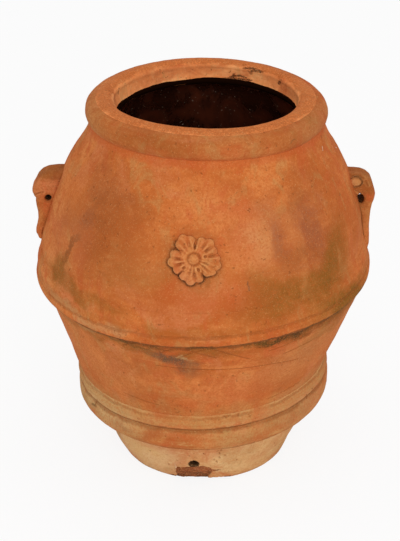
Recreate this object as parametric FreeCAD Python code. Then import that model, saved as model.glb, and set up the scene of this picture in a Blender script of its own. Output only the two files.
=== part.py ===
import FreeCAD, Part
import math
import os

# Two-handled storage jar of coil-built terracotta, in millimetres.
# +Z is up, the jar stands on z = 0 with its axis on Z, and its front is at -Y.
# It is built in courses: rings of clay joined by slanted seams, with mouldings,
# ears and a pressed ornament stuck on with slip, and a glaze on the inside.

os.makedirs("parts", exist_ok=True)
Vector = FreeCAD.Vector

# Wall, and the radii of its outer face where its curve changes
wall = 24.0
base_radius = 180.0
foot_top_radius = 222.0
waist_radius = 258.0
belly_radius = 334.0
belly_turn_inset = 2.0

# Heights of the stretches of the wall, stacked from the ground up
foot_height = 122.0
waist_rise = 85.0
belly_rise = 217.0
belly_turn_rise = 16.0
shoulder_rise = 249.0
neck_rise = 67.0
mouth_rise = 50.0

# How far the middle of each curved stretch stands off its chord
foot_bow = 6.0
cone_bow = 2.0
turn_bow = 1.5
shoulder_bow = 12.5
neck_bow = -3.0
neck_inside_bow = 5.0

# Mouth: a collar around the throat, and the rolled rim around the collar
throat_radius = 175.0
throat_rise = 14.0
lip_width = 9.0
lip_round = 5.0
lip_bow = 1.4
collar_hollow = -1.5
collar_width = 23.0
collar_slope = 2.5
neck_width = 21.0
shoulder_top_width = 32.0
rim_roll_radius = 25.0
rim_roll_outset = 4.5
rim_roll_drop = 30.0

# Floor, glaze and the slanted seams between the courses, low inside and high outside
floor_thickness = 20.0
glaze_thickness = 1.2
seam_rise = 18.0
foot_seam_drop = 18.0
waist_seam_drop = 27.0
lower_seam_rise = 93.0
shoulder_seam_rise = 104.0
upper_seam_rise = 208.0

# Mouldings round the foot of the body, with a groove between them just off the wall
band_underside_stand = 32.0
band_underside_rise = 5.0
band_stand = 45.0
band_widest_rise = 32.0
band_lower_bow = 4.0
band_upper_bow = 2.0
groove_stand = 15.0
groove_rise = 57.0
waist_roll_bow = 4.0
waist_roll_stand = 2.0

# Ridge round the belly, flared into the shoulder above it
ridge_drop = 9.0
ridge_stand = 6.5
ridge_width = 17.0
ridge_bow = 2.0
ridge_rise = 3.0
ridge_flare_height = 48.0

# Ears at +X and -X: heights above the belly, and the stand of the outer face off the wall
ear_top_rise = 210.0
ear_top_stand = 17.0
ear_knuckle_rise = 195.0
ear_knuckle_stand = 40.0
ear_lobe_rise = 160.0
ear_lobe_stand = 40.0
ear_strap_rise = 129.0
ear_strap_stand = 26.0
ear_tail_rise = 96.0
ear_tail_stand = 11.5
ear_tip_rise = 58.0
ear_tip_stand = 6.0
ear_end_rise = 33.0
ear_end_stand = 0.8
ear_half_width = 25.0
ear_waist_half_width = 20.0
ear_end_half_width = 12.0
ear_edge_radius = 8.0

# Eye of the ear, the gap between the strap and the wall
eye_rise = 148.0
eye_stand = 7.5
eye_half_width = 8.0
eye_half_height = 11.0

# Volute pressed on the front of the right ear, where it meets the wall
volute_rise = 181.0
volute_stand = 6.0
volute_radius = 14.0
volute_thickness = 5.0
volute_channel_radius = 9.0
volute_channel_width = 2.6

# Five-petalled ornament on the front of the shoulder
rosette_rise = 158.0
rosette_side_offset = -18.0
rosette_thickness = 7.5
petal_count = 5
petal_first_angle = 47.0
petal_root_half_width = 9.0
lobe_circle_radius = 40.5
lobe_radius = 10.5
lobe_spread_angle = 19.5
middle_lobe_circle_radius = 42.5
middle_lobe_radius = 9.5
heart_radius = 22.0
boss_seat_radius = 14.0
boss_seat_depth = 3.0
boss_radius = 10.5
boss_height = 6.5
boss_dome_radius = 2.5
eyelet_radius = 3.4
eyelet_circle_radius = 22.5

# Spigot hole through the foot wall, above the floor and a little left of the front
spigot_radius = 10.0
spigot_floor_gap = 24.0
spigot_turn_angle = 5.2

# One overrun for every cut, far past the wall
overrun = 60.0

# Heights and radii worked out from the sizes above
waist_height = foot_height + waist_rise
belly_height = waist_height + belly_rise
shoulder_top_height = belly_height + shoulder_rise
neck_height = shoulder_top_height + neck_rise
throat_height = neck_height + throat_rise
total_height = neck_height + mouth_rise
lip_radius = throat_radius + lip_width
collar_radius = lip_radius + collar_width
neck_radius = collar_radius + neck_width
shoulder_top_radius = neck_radius + shoulder_top_width
groove_height = foot_height + groove_rise
spigot_height = floor_thickness + spigot_floor_gap + spigot_radius
rosette_height = belly_height + rosette_rise

axis = Vector(0, 0, 1)
centre = Vector(0, 0, 0)


def at(radius, height):
    return Vector(radius, 0, height)


def straight(start, end):
    return Part.LineSegment(start, end).toShape()


def bowed(start, end, bow):
    # An arc from start to end; a positive bow stands out on the right of the way along it
    along = end.sub(start)
    out = Vector(along.z, 0, -along.x)
    out.normalize()
    middle = start.add(end).multiply(1 / 2).add(out.multiply(bow))
    return Part.Arc(start, middle, end).toShape()


def chain(points):
    return [straight(points[i], points[i + 1]) for i in range(len(points) - 1)]


def face_of(edges):
    return Part.Face(Part.Wire(Part.__sortEdges__(edges)))


def largest_face(shape):
    return max(shape.Faces, key=lambda face: face.Area)


def ring(face):
    return face.revolve(centre, axis, 360).Solids[0]


def wall_edges(inset):
    # The outer curve of the wall from the ground to the top of the shoulder, moved in by inset
    base = at(base_radius - inset, 0)
    foot = at(foot_top_radius - inset, foot_height)
    waist = at(waist_radius - inset, waist_height)
    belly = at(belly_radius - inset, belly_height)
    turned = at(belly_radius - belly_turn_inset - inset, belly_height + belly_turn_rise)
    shoulder = at(shoulder_top_radius - inset, shoulder_top_height)
    return [
        bowed(base, foot, foot_bow),
        straight(foot, waist),
        bowed(waist, belly, cone_bow),
        bowed(belly, turned, turn_bow),
        bowed(turned, shoulder, shoulder_bow),
    ]


def outside_edges(inset):
    shoulder = at(shoulder_top_radius - inset, shoulder_top_height)
    neck = at(neck_radius - inset, neck_height)
    return wall_edges(inset) + [bowed(shoulder, neck, neck_bow)]


def inside_edges(inset):
    shoulder = at(shoulder_top_radius - inset, shoulder_top_height)
    throat = at(throat_radius + wall - inset, throat_height)
    return wall_edges(inset) + [bowed(shoulder, throat, neck_inside_bow)]


def outside_region(inset):
    # Half section of all that lies inside the outer face of the wall
    edges = outside_edges(inset)
    edges += chain([at(neck_radius - inset, neck_height), at(0, neck_height), at(0, 0),
                    at(base_radius - inset, 0)])
    return face_of(edges)


def inside_region(inset):
    # Half section of the room inside the wall, up to the throat
    top = at(throat_radius + wall - inset, throat_height)
    edges = inside_edges(inset)
    edges += chain([top, at(0, throat_height), at(0, 0), at(base_radius - inset, 0)])
    return face_of(edges)


def slice_between(low, high):
    reach = belly_radius + overrun
    corners = [at(0, low), at(reach, low), at(reach, high), at(0, high), at(0, low)]
    return face_of(chain(corners))


def wall_section():
    # Half section of wall and collar together, before the seams part them
    neck = at(neck_radius, neck_height)
    throat = at(throat_radius, throat_height)
    lip_low = at(lip_radius, total_height - lip_round)
    lip_top = at(lip_radius + lip_round, total_height)
    collar_edge = at(collar_radius, total_height - collar_slope)
    edges = outside_edges(0)
    edges += chain([neck, at(collar_radius, neck_height), collar_edge, lip_top])
    edges.append(bowed(lip_low, lip_top, -lip_bow))
    edges.append(bowed(throat, lip_low, -collar_hollow))
    edges += inside_edges(wall)
    edges.append(straight(at(base_radius - wall, 0), at(base_radius, 0)))
    return face_of(edges)


def wall_radius(height):
    # Radius of the outer face of the wall at a height below the neck
    level = straight(at(0, height), at(belly_radius + overrun, height))
    return outside_solid_section.common(level).BoundBox.XMax


def on_wall(height, stand):
    return at(wall_radius(height) + stand, height)


def below_seam(height):
    # All that lies below the slanted seam whose inner end is at the given height
    inner = on_wall(height, -wall)
    reach = belly_radius + overrun
    slant = seam_rise / wall
    corners = [at(0, -reach), at(reach, -reach), at(reach, height + slant * (reach - inner.x)),
               at(0, height - slant * inner.x), at(0, -reach)]
    return face_of(chain(corners))


def course(section, low, high):
    piece = section
    if high is not None:
        piece = piece.common(below_seam(high))
    if low is not None:
        piece = piece.cut(below_seam(low))
    return ring(largest_face(piece))


def drilled(shape):
    # The spigot hole, bored outwards through the foot wall
    turn = math.radians(spigot_turn_angle)
    out = Vector(-math.sin(turn), -math.cos(turn), 0)
    inside = base_radius - wall - overrun
    start = Vector(out).multiply(inside).add(Vector(0, 0, spigot_height))
    length = foot_top_radius + overrun - inside
    return shape.cut(Part.makeCylinder(spigot_radius, length, start, out)).Solids[0]


def foot_band():
    underside = at(foot_top_radius + band_underside_stand, foot_height + band_underside_rise)
    widest = at(foot_top_radius + band_stand, foot_height + band_widest_rise)
    groove = on_wall(groove_height, groove_stand)
    low_seat = on_wall(foot_height, -wall / 2)
    high_seat = on_wall(groove_height, -wall / 2)
    edges = chain([low_seat, at(foot_top_radius, foot_height), underside])
    edges += [bowed(underside, widest, band_lower_bow),
              bowed(widest, groove, band_upper_bow)]
    edges += chain([groove, high_seat, low_seat])
    return ring(largest_face(face_of(edges).cut(wall_face)))


def waist_roll():
    groove = on_wall(groove_height, groove_stand)
    top = on_wall(waist_height, waist_roll_stand)
    edges = [bowed(groove, top, waist_roll_bow)]
    edges += chain([top, on_wall(waist_height, -wall / 2), on_wall(groove_height, -wall / 2),
                    groove])
    return ring(largest_face(face_of(edges).cut(wall_face)))


def belly_ridge():
    face_radius = belly_radius + ridge_stand
    low_height = belly_height - ridge_drop
    low_seat = on_wall(low_height, -wall / 2)
    low = at(face_radius, low_height + ridge_rise)
    high = at(face_radius, low_height + ridge_width)
    top_height = low_height + ridge_width + ridge_flare_height
    top = on_wall(top_height, 0)
    edges = chain([low_seat, at(belly_radius, low_height), low])
    edges.append(bowed(low, high, ridge_bow))
    edges += chain([high, top, on_wall(top_height, -wall / 2), low_seat])
    return ring(largest_face(face_of(edges).cut(wall_face)))


def rim_roll():
    middle = at(collar_radius + rim_roll_outset, total_height - rim_roll_drop)
    circle = Part.makeCircle(rim_roll_radius, middle, Vector(0, 1, 0))
    disc = Part.Face(Part.Wire([circle]))
    outer_half = disc.cut(slice_to(collar_radius))
    return ring(largest_face(outer_half.cut(wall_face)))


def slice_to(radius):
    # Half section of all that lies inside a radius, over the whole height
    top = total_height + overrun
    corners = [at(0, 0), at(radius, 0), at(radius, top), at(0, top), at(0, 0)]
    return face_of(chain(corners))


def mouth_collar():
    above = wall_face.common(slice_between(neck_height, total_height + overrun))
    return ring(largest_face(above))


def floor_slab():
    return ring(largest_face(inside_region(wall).common(slice_between(0, floor_thickness))))


def inner_glaze():
    skin = inside_region(wall).cut(slice_between(-overrun, floor_thickness))
    room = inside_region(wall + glaze_thickness).common(
        slice_between(floor_thickness + glaze_thickness, total_height))
    return drilled(ring(largest_face(skin.cut(room))))


def above_belly(rise, stand):
    return on_wall(belly_height + rise, stand)


def ear_side_face():
    # Side view of the ear in the XZ plane; its back lies inside the wall
    top = above_belly(ear_top_rise, ear_top_stand)
    end = above_belly(ear_end_rise, ear_end_stand)
    outer = Part.BSplineCurve()
    outer.interpolate([top,
                       above_belly(ear_knuckle_rise, ear_knuckle_stand),
                       above_belly(ear_lobe_rise, ear_lobe_stand),
                       above_belly(ear_strap_rise, ear_strap_stand),
                       above_belly(ear_tail_rise, ear_tail_stand),
                       above_belly(ear_tip_rise, ear_tip_stand),
                       end])
    edges = [outer.toShape()]
    edges += chain([end, above_belly(ear_end_rise, -wall / 2),
                    above_belly(ear_top_rise, -wall / 2), top])
    return face_of(edges)


def ear_front_face():
    # Front view of the ear in the YZ plane: broad above, narrowing to a round tail
    end_height = belly_height + ear_end_rise
    side = [Vector(0, ear_end_half_width, end_height),
            Vector(0, ear_waist_half_width, belly_height + ear_strap_rise),
            Vector(0, ear_half_width, belly_height + ear_knuckle_rise),
            Vector(0, ear_half_width, belly_height + ear_top_rise + overrun)]
    other = [Vector(0, -place.y, place.z) for place in side]
    lowest = Vector(0, 0, end_height - ear_end_half_width)
    tail = Part.Arc(other[0], lowest, side[0]).toShape()
    edges = [tail] + chain(side) + [straight(side[-1], other[-1])] + chain(other)
    return face_of(edges)


def ear_outer_edges(shape):
    # Edges between the broad outer face of the ear and its two sides
    chosen = []
    for edge in shape.Edges:
        middle = edge.valueAt((edge.FirstParameter + edge.LastParameter) / 2)
        beside = abs(middle.y) > ear_end_half_width / 2
        if beside and middle.x > wall_radius(middle.z) + glaze_thickness:
            if edge.BoundBox.YLength < ear_half_width:
                chosen.append(edge)
    return chosen


def right_ear(ridge):
    side = ear_side_face()
    side.translate(Vector(0, -ear_half_width - overrun, 0))
    slab = side.extrude(Vector(0, 2 * (ear_half_width + overrun), 0))
    front = ear_front_face().extrude(Vector(2 * (belly_radius + overrun), 0, 0))
    block = slab.common(front).Solids[0]
    rounded = block.makeFillet(ear_edge_radius, ear_outer_edges(block))
    return largest_solid(rounded.cut(eye()).cut(outside_solid).cut(ridge))


def eye():
    # Oval gap that leans with the wall behind it
    middle = above_belly(eye_rise, eye_stand)
    lean = above_belly(eye_rise + eye_half_height, 0).sub(
        above_belly(eye_rise - eye_half_height, 0))
    lean.normalize()
    oval = Part.Ellipse(middle.add(Vector(lean).multiply(eye_half_height)),
                        middle.add(Vector(lean.z, 0, -lean.x).multiply(eye_half_width)),
                        middle)
    face = Part.Face(Part.Wire([oval.toShape()]))
    face.translate(Vector(0, -ear_half_width - overrun, 0))
    return face.extrude(Vector(0, 2 * (ear_half_width + overrun), 0))


def volute(ear):
    # A round pad with a channel in its face, seated on the ear and on the wall
    place = above_belly(volute_rise, volute_stand)
    front = Vector(place.x, -ear_half_width - volute_thickness, place.z)
    depth = volute_thickness + ear_half_width
    pad = Part.makeCylinder(volute_radius, depth, front, Vector(0, 1, 0))
    pad = pad.makeFillet(volute_thickness / 2, [pad.Edges[face_edge(pad, front.y)]])
    channel = Part.makeTorus(volute_channel_radius, volute_channel_width / 2, front,
                             Vector(0, 1, 0))
    return largest_solid(pad.cut(channel).cut(ear).cut(outside_solid))


def face_edge(shape, depth):
    # Index of the round edge that lies at the given y
    flat = [i for i, edge in enumerate(shape.Edges)
            if abs(edge.BoundBox.YMin - depth) < glaze_thickness
            and edge.BoundBox.YLength < glaze_thickness]
    return flat[0]


def largest_solid(shape):
    return max(shape.Solids, key=lambda solid: solid.Volume)


def mirrored(shape):
    return shape.mirror(centre, Vector(1, 0, 0))


def rosette_frame():
    # Local x runs to the right and z straight out of the wall, at the ornament's centre
    radius = wall_radius(rosette_height)
    around = math.asin(rosette_side_offset / radius)
    rise = wall_radius(rosette_height + lobe_radius) - wall_radius(rosette_height - lobe_radius)
    lean = math.degrees(math.atan2(-rise, 2 * lobe_radius))
    spot = Vector(radius * math.sin(around), -radius * math.cos(around), rosette_height)
    turned = FreeCAD.Rotation(axis, math.degrees(around))
    upright = FreeCAD.Rotation(Vector(1, 0, 0), 90 - lean)
    return FreeCAD.Placement(spot, turned.multiply(upright))


def polar(reach, angle):
    turn = math.radians(angle)
    return Vector(reach * math.cos(turn), reach * math.sin(turn), 0)


def upright_prism(face):
    face.translate(Vector(0, 0, -overrun))
    return face.extrude(Vector(0, 0, 2 * overrun))


def petal(angle):
    # Three round lobes on a web that narrows to the heart
    middle = polar(middle_lobe_circle_radius, angle)
    disc = Part.Face(Part.Wire([Part.makeCircle(middle_lobe_radius, middle, axis)]))
    lobes = upright_prism(disc)
    for side in (-1, 1):
        spot = polar(lobe_circle_radius, angle + side * lobe_spread_angle)
        disc = Part.Face(Part.Wire([Part.makeCircle(lobe_radius, spot, axis)]))
        lobes = lobes.fuse(upright_prism(disc))
    across = polar(petal_root_half_width, angle + 90)
    heart = polar(heart_radius / 2, angle)
    right = polar(lobe_circle_radius, angle - lobe_spread_angle)
    left = polar(lobe_circle_radius, angle + lobe_spread_angle)
    tip_right = right.add(polar(lobe_radius, angle - 90))
    tip_left = left.add(polar(lobe_radius, angle + 90))
    corners = [heart.sub(across), tip_right, right, left, tip_left, heart.add(across),
               heart.sub(across)]
    web = upright_prism(face_of(chain(corners)))
    return lobes.fuse(web)


def rosette_pieces():
    # The ornament is cut to one thickness over the wall, and its boss sits in a round seat
    step = 360 / petal_count
    heart = Part.Face(Part.Wire([Part.makeCircle(heart_radius, centre, axis)]))
    flower = upright_prism(heart)
    for index in range(petal_count):
        flower = flower.fuse(petal(petal_first_angle + index * step))
    for index in range(petal_count):
        spot = polar(eyelet_circle_radius, petal_first_angle + (index + 1 / 2) * step)
        hole = Part.Face(Part.Wire([Part.makeCircle(eyelet_radius, spot, axis)]))
        flower = flower.cut(upright_prism(hole))
    seat_level = rosette_thickness - boss_seat_depth
    seat = Part.makeCylinder(boss_seat_radius, overrun, Vector(0, 0, seat_level))
    boss = Part.makeCylinder(boss_radius, boss_height, Vector(0, 0, seat_level))
    boss = boss.makeFillet(boss_dome_radius, [edge for edge in boss.Edges
                                       if edge.BoundBox.ZMin > seat_level + boss_dome_radius])
    frame = rosette_frame()
    for shape in (flower, seat, boss):
        shape.Placement = frame
    skin = ring(outside_region(-rosette_thickness))
    flower = flower.common(skin).cut(seat).cut(outside_solid).removeSplitter()
    return largest_solid(flower), boss


wall_face = wall_section()
outside_solid_section = outside_region(0)
outside_solid = ring(outside_solid_section)
seam_heights = [None, foot_height - foot_seam_drop, waist_height - waist_seam_drop,
                waist_height + lower_seam_rise, belly_height,
                belly_height + shoulder_seam_rise, belly_height + upper_seam_rise, None]
course_names = ["foot_wall", "waist_course", "lower_course", "belly_course",
                "shoulder_course", "upper_course", "neck_course"]
built_up = wall_face.common(slice_between(0, neck_height))

nodes = {}
for name, low, high in zip(course_names, seam_heights, seam_heights[1:]):
    nodes[name] = course(built_up, low, high)
nodes["foot_wall"] = drilled(nodes["foot_wall"])
nodes["floor_slab"] = floor_slab()
nodes["foot_band"] = foot_band()
nodes["waist_roll"] = waist_roll()
nodes["belly_ridge"] = belly_ridge()
nodes["mouth_collar"] = mouth_collar()
nodes["rim_roll"] = rim_roll()
nodes["inner_glaze"] = inner_glaze()
nodes["right_handle"] = right_ear(nodes["belly_ridge"])
nodes["left_handle"] = mirrored(nodes["right_handle"])
nodes["handle_volute"] = volute(nodes["right_handle"])
nodes["rosette_petals"], nodes["rosette_boss"] = rosette_pieces()

for name, shape in nodes.items():
    box = shape.BoundBox
    print(f"{name:16s} solids {len(shape.Solids)} valid {shape.isValid()} "
          f"volume {shape.Volume / 1000:9.1f} cm3  z {box.ZMin:.1f} to {box.ZMax:.1f}")
    shape.exportStep(f"parts/{name}.step")
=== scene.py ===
import math
import bmesh
import bpy
import numpy as np
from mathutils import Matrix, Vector, noise
from mathutils.bvhtree import BVHTree


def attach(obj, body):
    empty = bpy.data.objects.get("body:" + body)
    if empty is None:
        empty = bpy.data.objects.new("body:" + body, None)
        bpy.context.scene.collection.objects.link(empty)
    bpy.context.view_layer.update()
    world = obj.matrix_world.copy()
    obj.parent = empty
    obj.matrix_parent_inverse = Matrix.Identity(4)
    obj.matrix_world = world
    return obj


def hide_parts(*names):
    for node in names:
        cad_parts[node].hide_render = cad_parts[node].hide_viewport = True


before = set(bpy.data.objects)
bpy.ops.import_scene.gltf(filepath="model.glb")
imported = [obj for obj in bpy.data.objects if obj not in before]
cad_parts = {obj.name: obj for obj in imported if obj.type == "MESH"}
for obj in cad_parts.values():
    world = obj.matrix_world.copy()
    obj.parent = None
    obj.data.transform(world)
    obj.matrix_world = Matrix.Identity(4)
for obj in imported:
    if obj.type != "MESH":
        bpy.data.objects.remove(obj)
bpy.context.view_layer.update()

mm = 0.001

# The jar's outer wall line: radius, height and how far the stretch below bows out, in millimetres
wall = {
    "line": [(179, 0, 0), (222, 122, 3.5), (258, 207, 0), (334, 424, -1.2), (332, 440, 1.5),
             (260, 673, 12.5), (228, 740, -3)],
    "core": [(0, 166), (60, 192), (424, 315), (740, 215)],    # height and radius inside the wall
    "thickness": 24,
    "overlap": 2,         # how far the walls reach into the glaze
    "glaze": 1.2,
    "floor": 20,
    "spacing": 3.0,       # between the rings of the mesh where it shows
    "hiddenSpacing": 14,  # where it doesn't
    "turns": 720,         # steps round the axis
    "quickTurns": 300,
}

# A hand-built jar is a little out of true: sideways shift in mm and tilt in degrees by height
lean = {
    "heights": [0, 32, 76, 104, 127, 148, 180, 207, 232, 300, 348, 384, 412, 424, 465, 500, 545,
                640, 738, 790],
    "shift": [6.5, 4.5, 8.0, 8.5, 6.0, 4.8, 4.5, 2.0, 2.2, 6.0, 7.4, 9.0, 7.0, 4.8, 3.0, 3.6, 7.6,
              9.4, 11.0, 8.5],
    "tiltHeights": [0, 60, 127, 180, 207, 424, 500, 560, 640, 738, 790],
    "tilt": [0.0, 0.4, 1.0, 1.8, 1.6, 1.7, 1.3, 0.8, 0.2, -0.9, -1.3],
    # waves round the jar, their size in mm, their phase and twist
    "outOfRound": [(2, 1.1, 0.7, 3.0), (3, 0.8, 2.1, -5.0), (5, 0.4, 4.0, 9.0)],
    "roundBelow": 120,    # the waves fade in up to this height
    "sagTurn": -96,       # the mouth sags most on this side, in degrees from the front
    "sagHalfTurn": 96,
    "sagHeights": (640, 745),
    "sagDrop": 7.0,
    "sagInward": 3.0,
}

# Unevenness of the fired clay: size of the clouds and depth, in millimetres
unevenness = {
    "dents": (70, 1.6),
    "hand": (22, 0.7),
    "grain": (6, 0.35),
}


def clearSelection():
    if bpy.context.object and bpy.context.object.mode != "OBJECT":
        bpy.ops.object.mode_set(mode="OBJECT")
    bpy.ops.object.select_all(action="DESELECT")


def makeActive(piece):
    clearSelection()
    piece.select_set(True)
    bpy.context.view_layer.objects.active = piece


def newPiece(name):
    # Names what an operator has just made
    piece = bpy.context.active_object
    piece.name = name
    piece.data.name = name
    return piece


def editAll(piece, kind="VERT"):
    makeActive(piece)
    bpy.ops.object.mode_set(mode="EDIT")
    bpy.ops.mesh.select_mode(type=kind)
    bpy.ops.mesh.select_all(action="SELECT")


def editChosen(piece, chosen, kind):
    # Opens the mesh with the chosen vertices or faces selected
    editAll(piece, kind)
    bpy.ops.mesh.select_all(action="DESELECT")
    body = bmesh.from_edit_mesh(piece.data)
    for part, wanted in zip(body.faces if kind == "FACE" else body.verts, chosen):
        part.select = bool(wanted)
    if kind == "VERT":
        body.select_flush_mode()
    bmesh.update_edit_mesh(piece.data)


def faceOutward(piece):
    editAll(piece)
    bpy.ops.mesh.normals_make_consistent(inside=False)
    bpy.ops.object.mode_set(mode="OBJECT")


def change(piece, kind, **settings):
    # Applies one modifier
    makeActive(piece)
    modifier = piece.modifiers.new("change", kind)
    for name, value in settings.items():
        setattr(modifier, name, value)
    bpy.ops.object.modifier_apply(modifier=modifier.name)


def cutAway(piece, drill):
    change(piece, "BOOLEAN", operation="DIFFERENCE", solver="EXACT", object=drill)
    bpy.data.objects.remove(drill)


def softened(piece, voxel, rounds):
    change(piece, "REMESH", mode="VOXEL", voxel_size=voxel * mm)
    change(piece, "SMOOTH", iterations=rounds, factor=0.5)


def bowedPoints(start, end, bow, spacing):
    # Points after start up to end, on a shallow curve that stands bow to the right of the way
    along, up = end[0] - start[0], end[1] - start[1]
    chord = math.hypot(along, up)
    count = max(1, round(chord / spacing))
    points = []
    for index in range(1, count + 1):
        share = index / count
        stand = 4 * bow * share * (1 - share)
        points.append((start[0] + along * share + stand * up / chord,
                       start[1] + up * share - stand * along / chord))
    return points


def outlineOf(stations, spacing):
    # Stations are (radius, height), then the bow of the stretch before it and a spacing of its own
    points = [tuple(stations[0][:2])]
    for station in stations[1:]:
        bow, own = (*station[2:], *(0, spacing)[len(station) - 2:])
        points += bowedPoints(points[-1], station[:2], bow, own)
    return points


denseWall = outlineOf(wall["line"], 0.5)


def wallRadius(height):
    # Radius of the outer face in mm, at a height in mm
    return float(np.interp(height, [z for r, z in denseWall], [r for r, z in denseWall]))


def wallStretch(low, high, inset, spacing):
    # Points up the wall from low to high, moved in by inset
    count = max(1, round((high - low) / spacing))
    heights = [low + (high - low) * index / count for index in range(count + 1)]
    return [(wallRadius(z) - inset, z) for z in heights]


def innerFace(low, high):
    # Points down the wall's inside
    inset = wall["thickness"] - wall["overlap"]
    return wallStretch(low, high, inset, wall["hiddenSpacing"])[::-1]


def drawnPiece(name, outline):
    # One vertex is extruded along the outline, which stays open for editing
    clearSelection()
    bpy.ops.mesh.primitive_plane_add(size=mm, location=(0, 0, 0))
    piece = newPiece(name)
    editAll(piece)
    bpy.ops.mesh.merge(type="CENTER")
    bpy.ops.transform.translate(value=(outline[0][0] * mm, 0, outline[0][1] * mm))
    for here, there in zip(outline, outline[1:]):
        step = ((there[0] - here[0]) * mm, 0, (there[1] - here[1]) * mm)
        bpy.ops.mesh.extrude_region_move(TRANSFORM_OT_translate={"value": step})
    return piece


def spinPiece(name, outline, turns=None):
    # The outline is closed, unless it runs from axis to axis, and spun
    piece = drawnPiece(name, outline)
    body = bmesh.from_edit_mesh(piece.data)
    for vertex in body.verts:
        vertex.select = len(vertex.link_edges) == 1
    bmesh.update_edit_mesh(piece.data)
    if outline[0][0] or outline[-1][0]:
        bpy.ops.mesh.edge_face_add()
    bpy.ops.mesh.select_all(action="SELECT")
    steps = turns or (wall["turns"])
    bpy.ops.mesh.spin(steps=steps, angle=math.tau, center=(0, 0, 0), axis=(0, 0, 1))
    bpy.ops.mesh.select_all(action="SELECT")
    bpy.ops.mesh.remove_doubles(threshold=0.02 * mm)
    faceOutward(piece)
    return piece


def readTriples(items, key):
    values = np.zeros(len(items) * 3)
    items.foreach_get(key, values)
    return values.reshape(-1, 3)


def readPlaces(piece):
    return readTriples(piece.data.vertices, "co")


def faceMiddles(piece):
    return readTriples(piece.data.polygons, "center")


def writePlaces(piece, places):
    piece.data.vertices.foreach_set("co", places.ravel())
    piece.data.update()


def saveLayer(piece, layerName, amounts):
    layer = piece.data.attributes.get(layerName)
    if layer is None:
        layer = piece.data.attributes.new(layerName, "FLOAT", "POINT")
    layer.data.foreach_set("value", amounts.astype(np.float32))


def readLayer(piece, layerName):
    amounts = np.zeros(len(piece.data.vertices), np.float32)
    layer = piece.data.attributes.get(layerName)
    if layer:
        layer.data.foreach_get("value", amounts)
    return amounts


def paint(piece, layerName, amounts):
    # Keeps an amount from 0 to 1 on every vertex for the material
    saveLayer(piece, layerName, np.clip(amounts, 0, 1))


def keepForm(piece):
    # The height before the jar's lean, kept on the mesh for patterns that follow the rings
    saveLayer(piece, "formHeight", readPlaces(piece)[:, 2])


def portion(amount, whole):
    return np.clip(amount / whole, 0, 1)


def hump(distance, width, power=2):
    return np.exp(-(distance / width) ** power)


def noiseAt(places, scale):
    return np.array([noise.noise(Vector(place) * scale) for place in places])


def eased(heights, knots, values):
    # Smooth steps between the knots
    result = np.full_like(heights, values[0], dtype=float)
    for low, high, start, end in zip(knots, knots[1:], values, values[1:]):
        share = portion(heights - low, high - low)
        step = share * share * (3 - 2 * share)
        result = np.where(heights >= low, start + (end - start) * step, result)
    return result


def shiftAt(heights):
    return eased(heights, lean["heights"], lean["shift"])


def settle(piece):
    # Leans and bends a true form into the hand-made one; the same for all pieces
    keepForm(piece)
    places = readPlaces(piece)
    x, y, z = places.T.copy()
    heights = z / mm
    angle = np.arctan2(x, -y)
    radius = np.hypot(x, y)
    for waves, size, phase, twist in lean["outOfRound"]:
        fade = portion(heights, lean["roundBelow"])
        radius += size * mm * fade * np.cos(waves * angle + phase + twist * z)
    places[:, 0] = radius * np.sin(angle) + mm * shiftAt(heights)
    places[:, 1] = -radius * np.cos(angle)
    tilt = np.radians(eased(heights, lean["tiltHeights"], lean["tilt"]))
    away = (np.degrees(angle) - lean["sagTurn"] + 180) % 360 - 180
    sag = np.cos(np.radians(np.clip(away / lean["sagHalfTurn"], -1, 1) * 90)) ** 2
    sag *= eased(heights, lean["sagHeights"], (0.0, 1.0))
    places[:, 2] = z + x * np.tan(tilt) - sag * lean["sagDrop"] * mm
    places[:, :2] *= (1 - sag * lean["sagInward"] * mm / np.maximum(radius, 0.05))[:, None]
    writePlaces(piece, places)


def roughen(piece, share=1.0):
    # Displaces the faces by three sizes of cloud, with the same clouds for neighbouring pieces
    for label, (size, depth) in unevenness.items():
        clouds = bpy.data.textures.get(label) or bpy.data.textures.new(label, "CLOUDS")
        clouds.noise_scale = size * mm
        clouds.noise_depth = 1
        change(piece, "DISPLACE", texture=clouds, texture_coords="LOCAL", mid_level=0.5,
               strength=depth * share * mm)


def ringPiece(name, outline, share=1.0):
    piece = spinPiece(name, outline)
    settle(piece)
    roughen(piece, share)
    return piece


def refine(piece, chosen, cuts):
    # Subdivides the chosen faces
    editChosen(piece, chosen, "FACE")
    bpy.ops.mesh.subdivide(number_cuts=cuts)
    bpy.ops.object.mode_set(mode="OBJECT")


def turnAndHeight(places):
    # Degrees right of the front, height and distance from the axis in mm
    turn = np.degrees(np.arctan2(places[:, 0], -places[:, 1]))
    return turn, places[:, 2] / mm, np.hypot(places[:, 0], places[:, 1]) / mm


def lineDistance(across, along, lines, radius=None):
    # Distance in mm to the nearest of the lines; with a radius, across is a turn in degrees
    nearest = np.full(len(across), 1000.0)
    for line in lines:
        for start, end in zip(line, line[1:]):
            away, step = across - start[0], end[0] - start[0]
            if radius is not None:
                away, step = np.radians(away) * radius, np.radians(step) * radius
            rise, up = along - start[1], end[1] - start[1]
            share = np.clip((away * step + rise * up) / (step ** 2 + up ** 2), 0, 1)
            nearest = np.minimum(nearest, np.hypot(away - share * step, rise - share * up))
    return nearest


def refineAlong(piece, marks):
    # Refines the mesh along lines over the wall, and says how near each vertex is to them
    turn, height, radius = turnAndHeight(faceMiddles(piece))
    near = lineDistance(turn, height, marks["lines"], radius)
    refine(piece, near < marks["reach"], marks["cuts"])
    places = readPlaces(piece)
    turn, height, radius = turnAndHeight(places)
    return places, lineDistance(turn, height, marks["lines"], radius)


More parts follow.
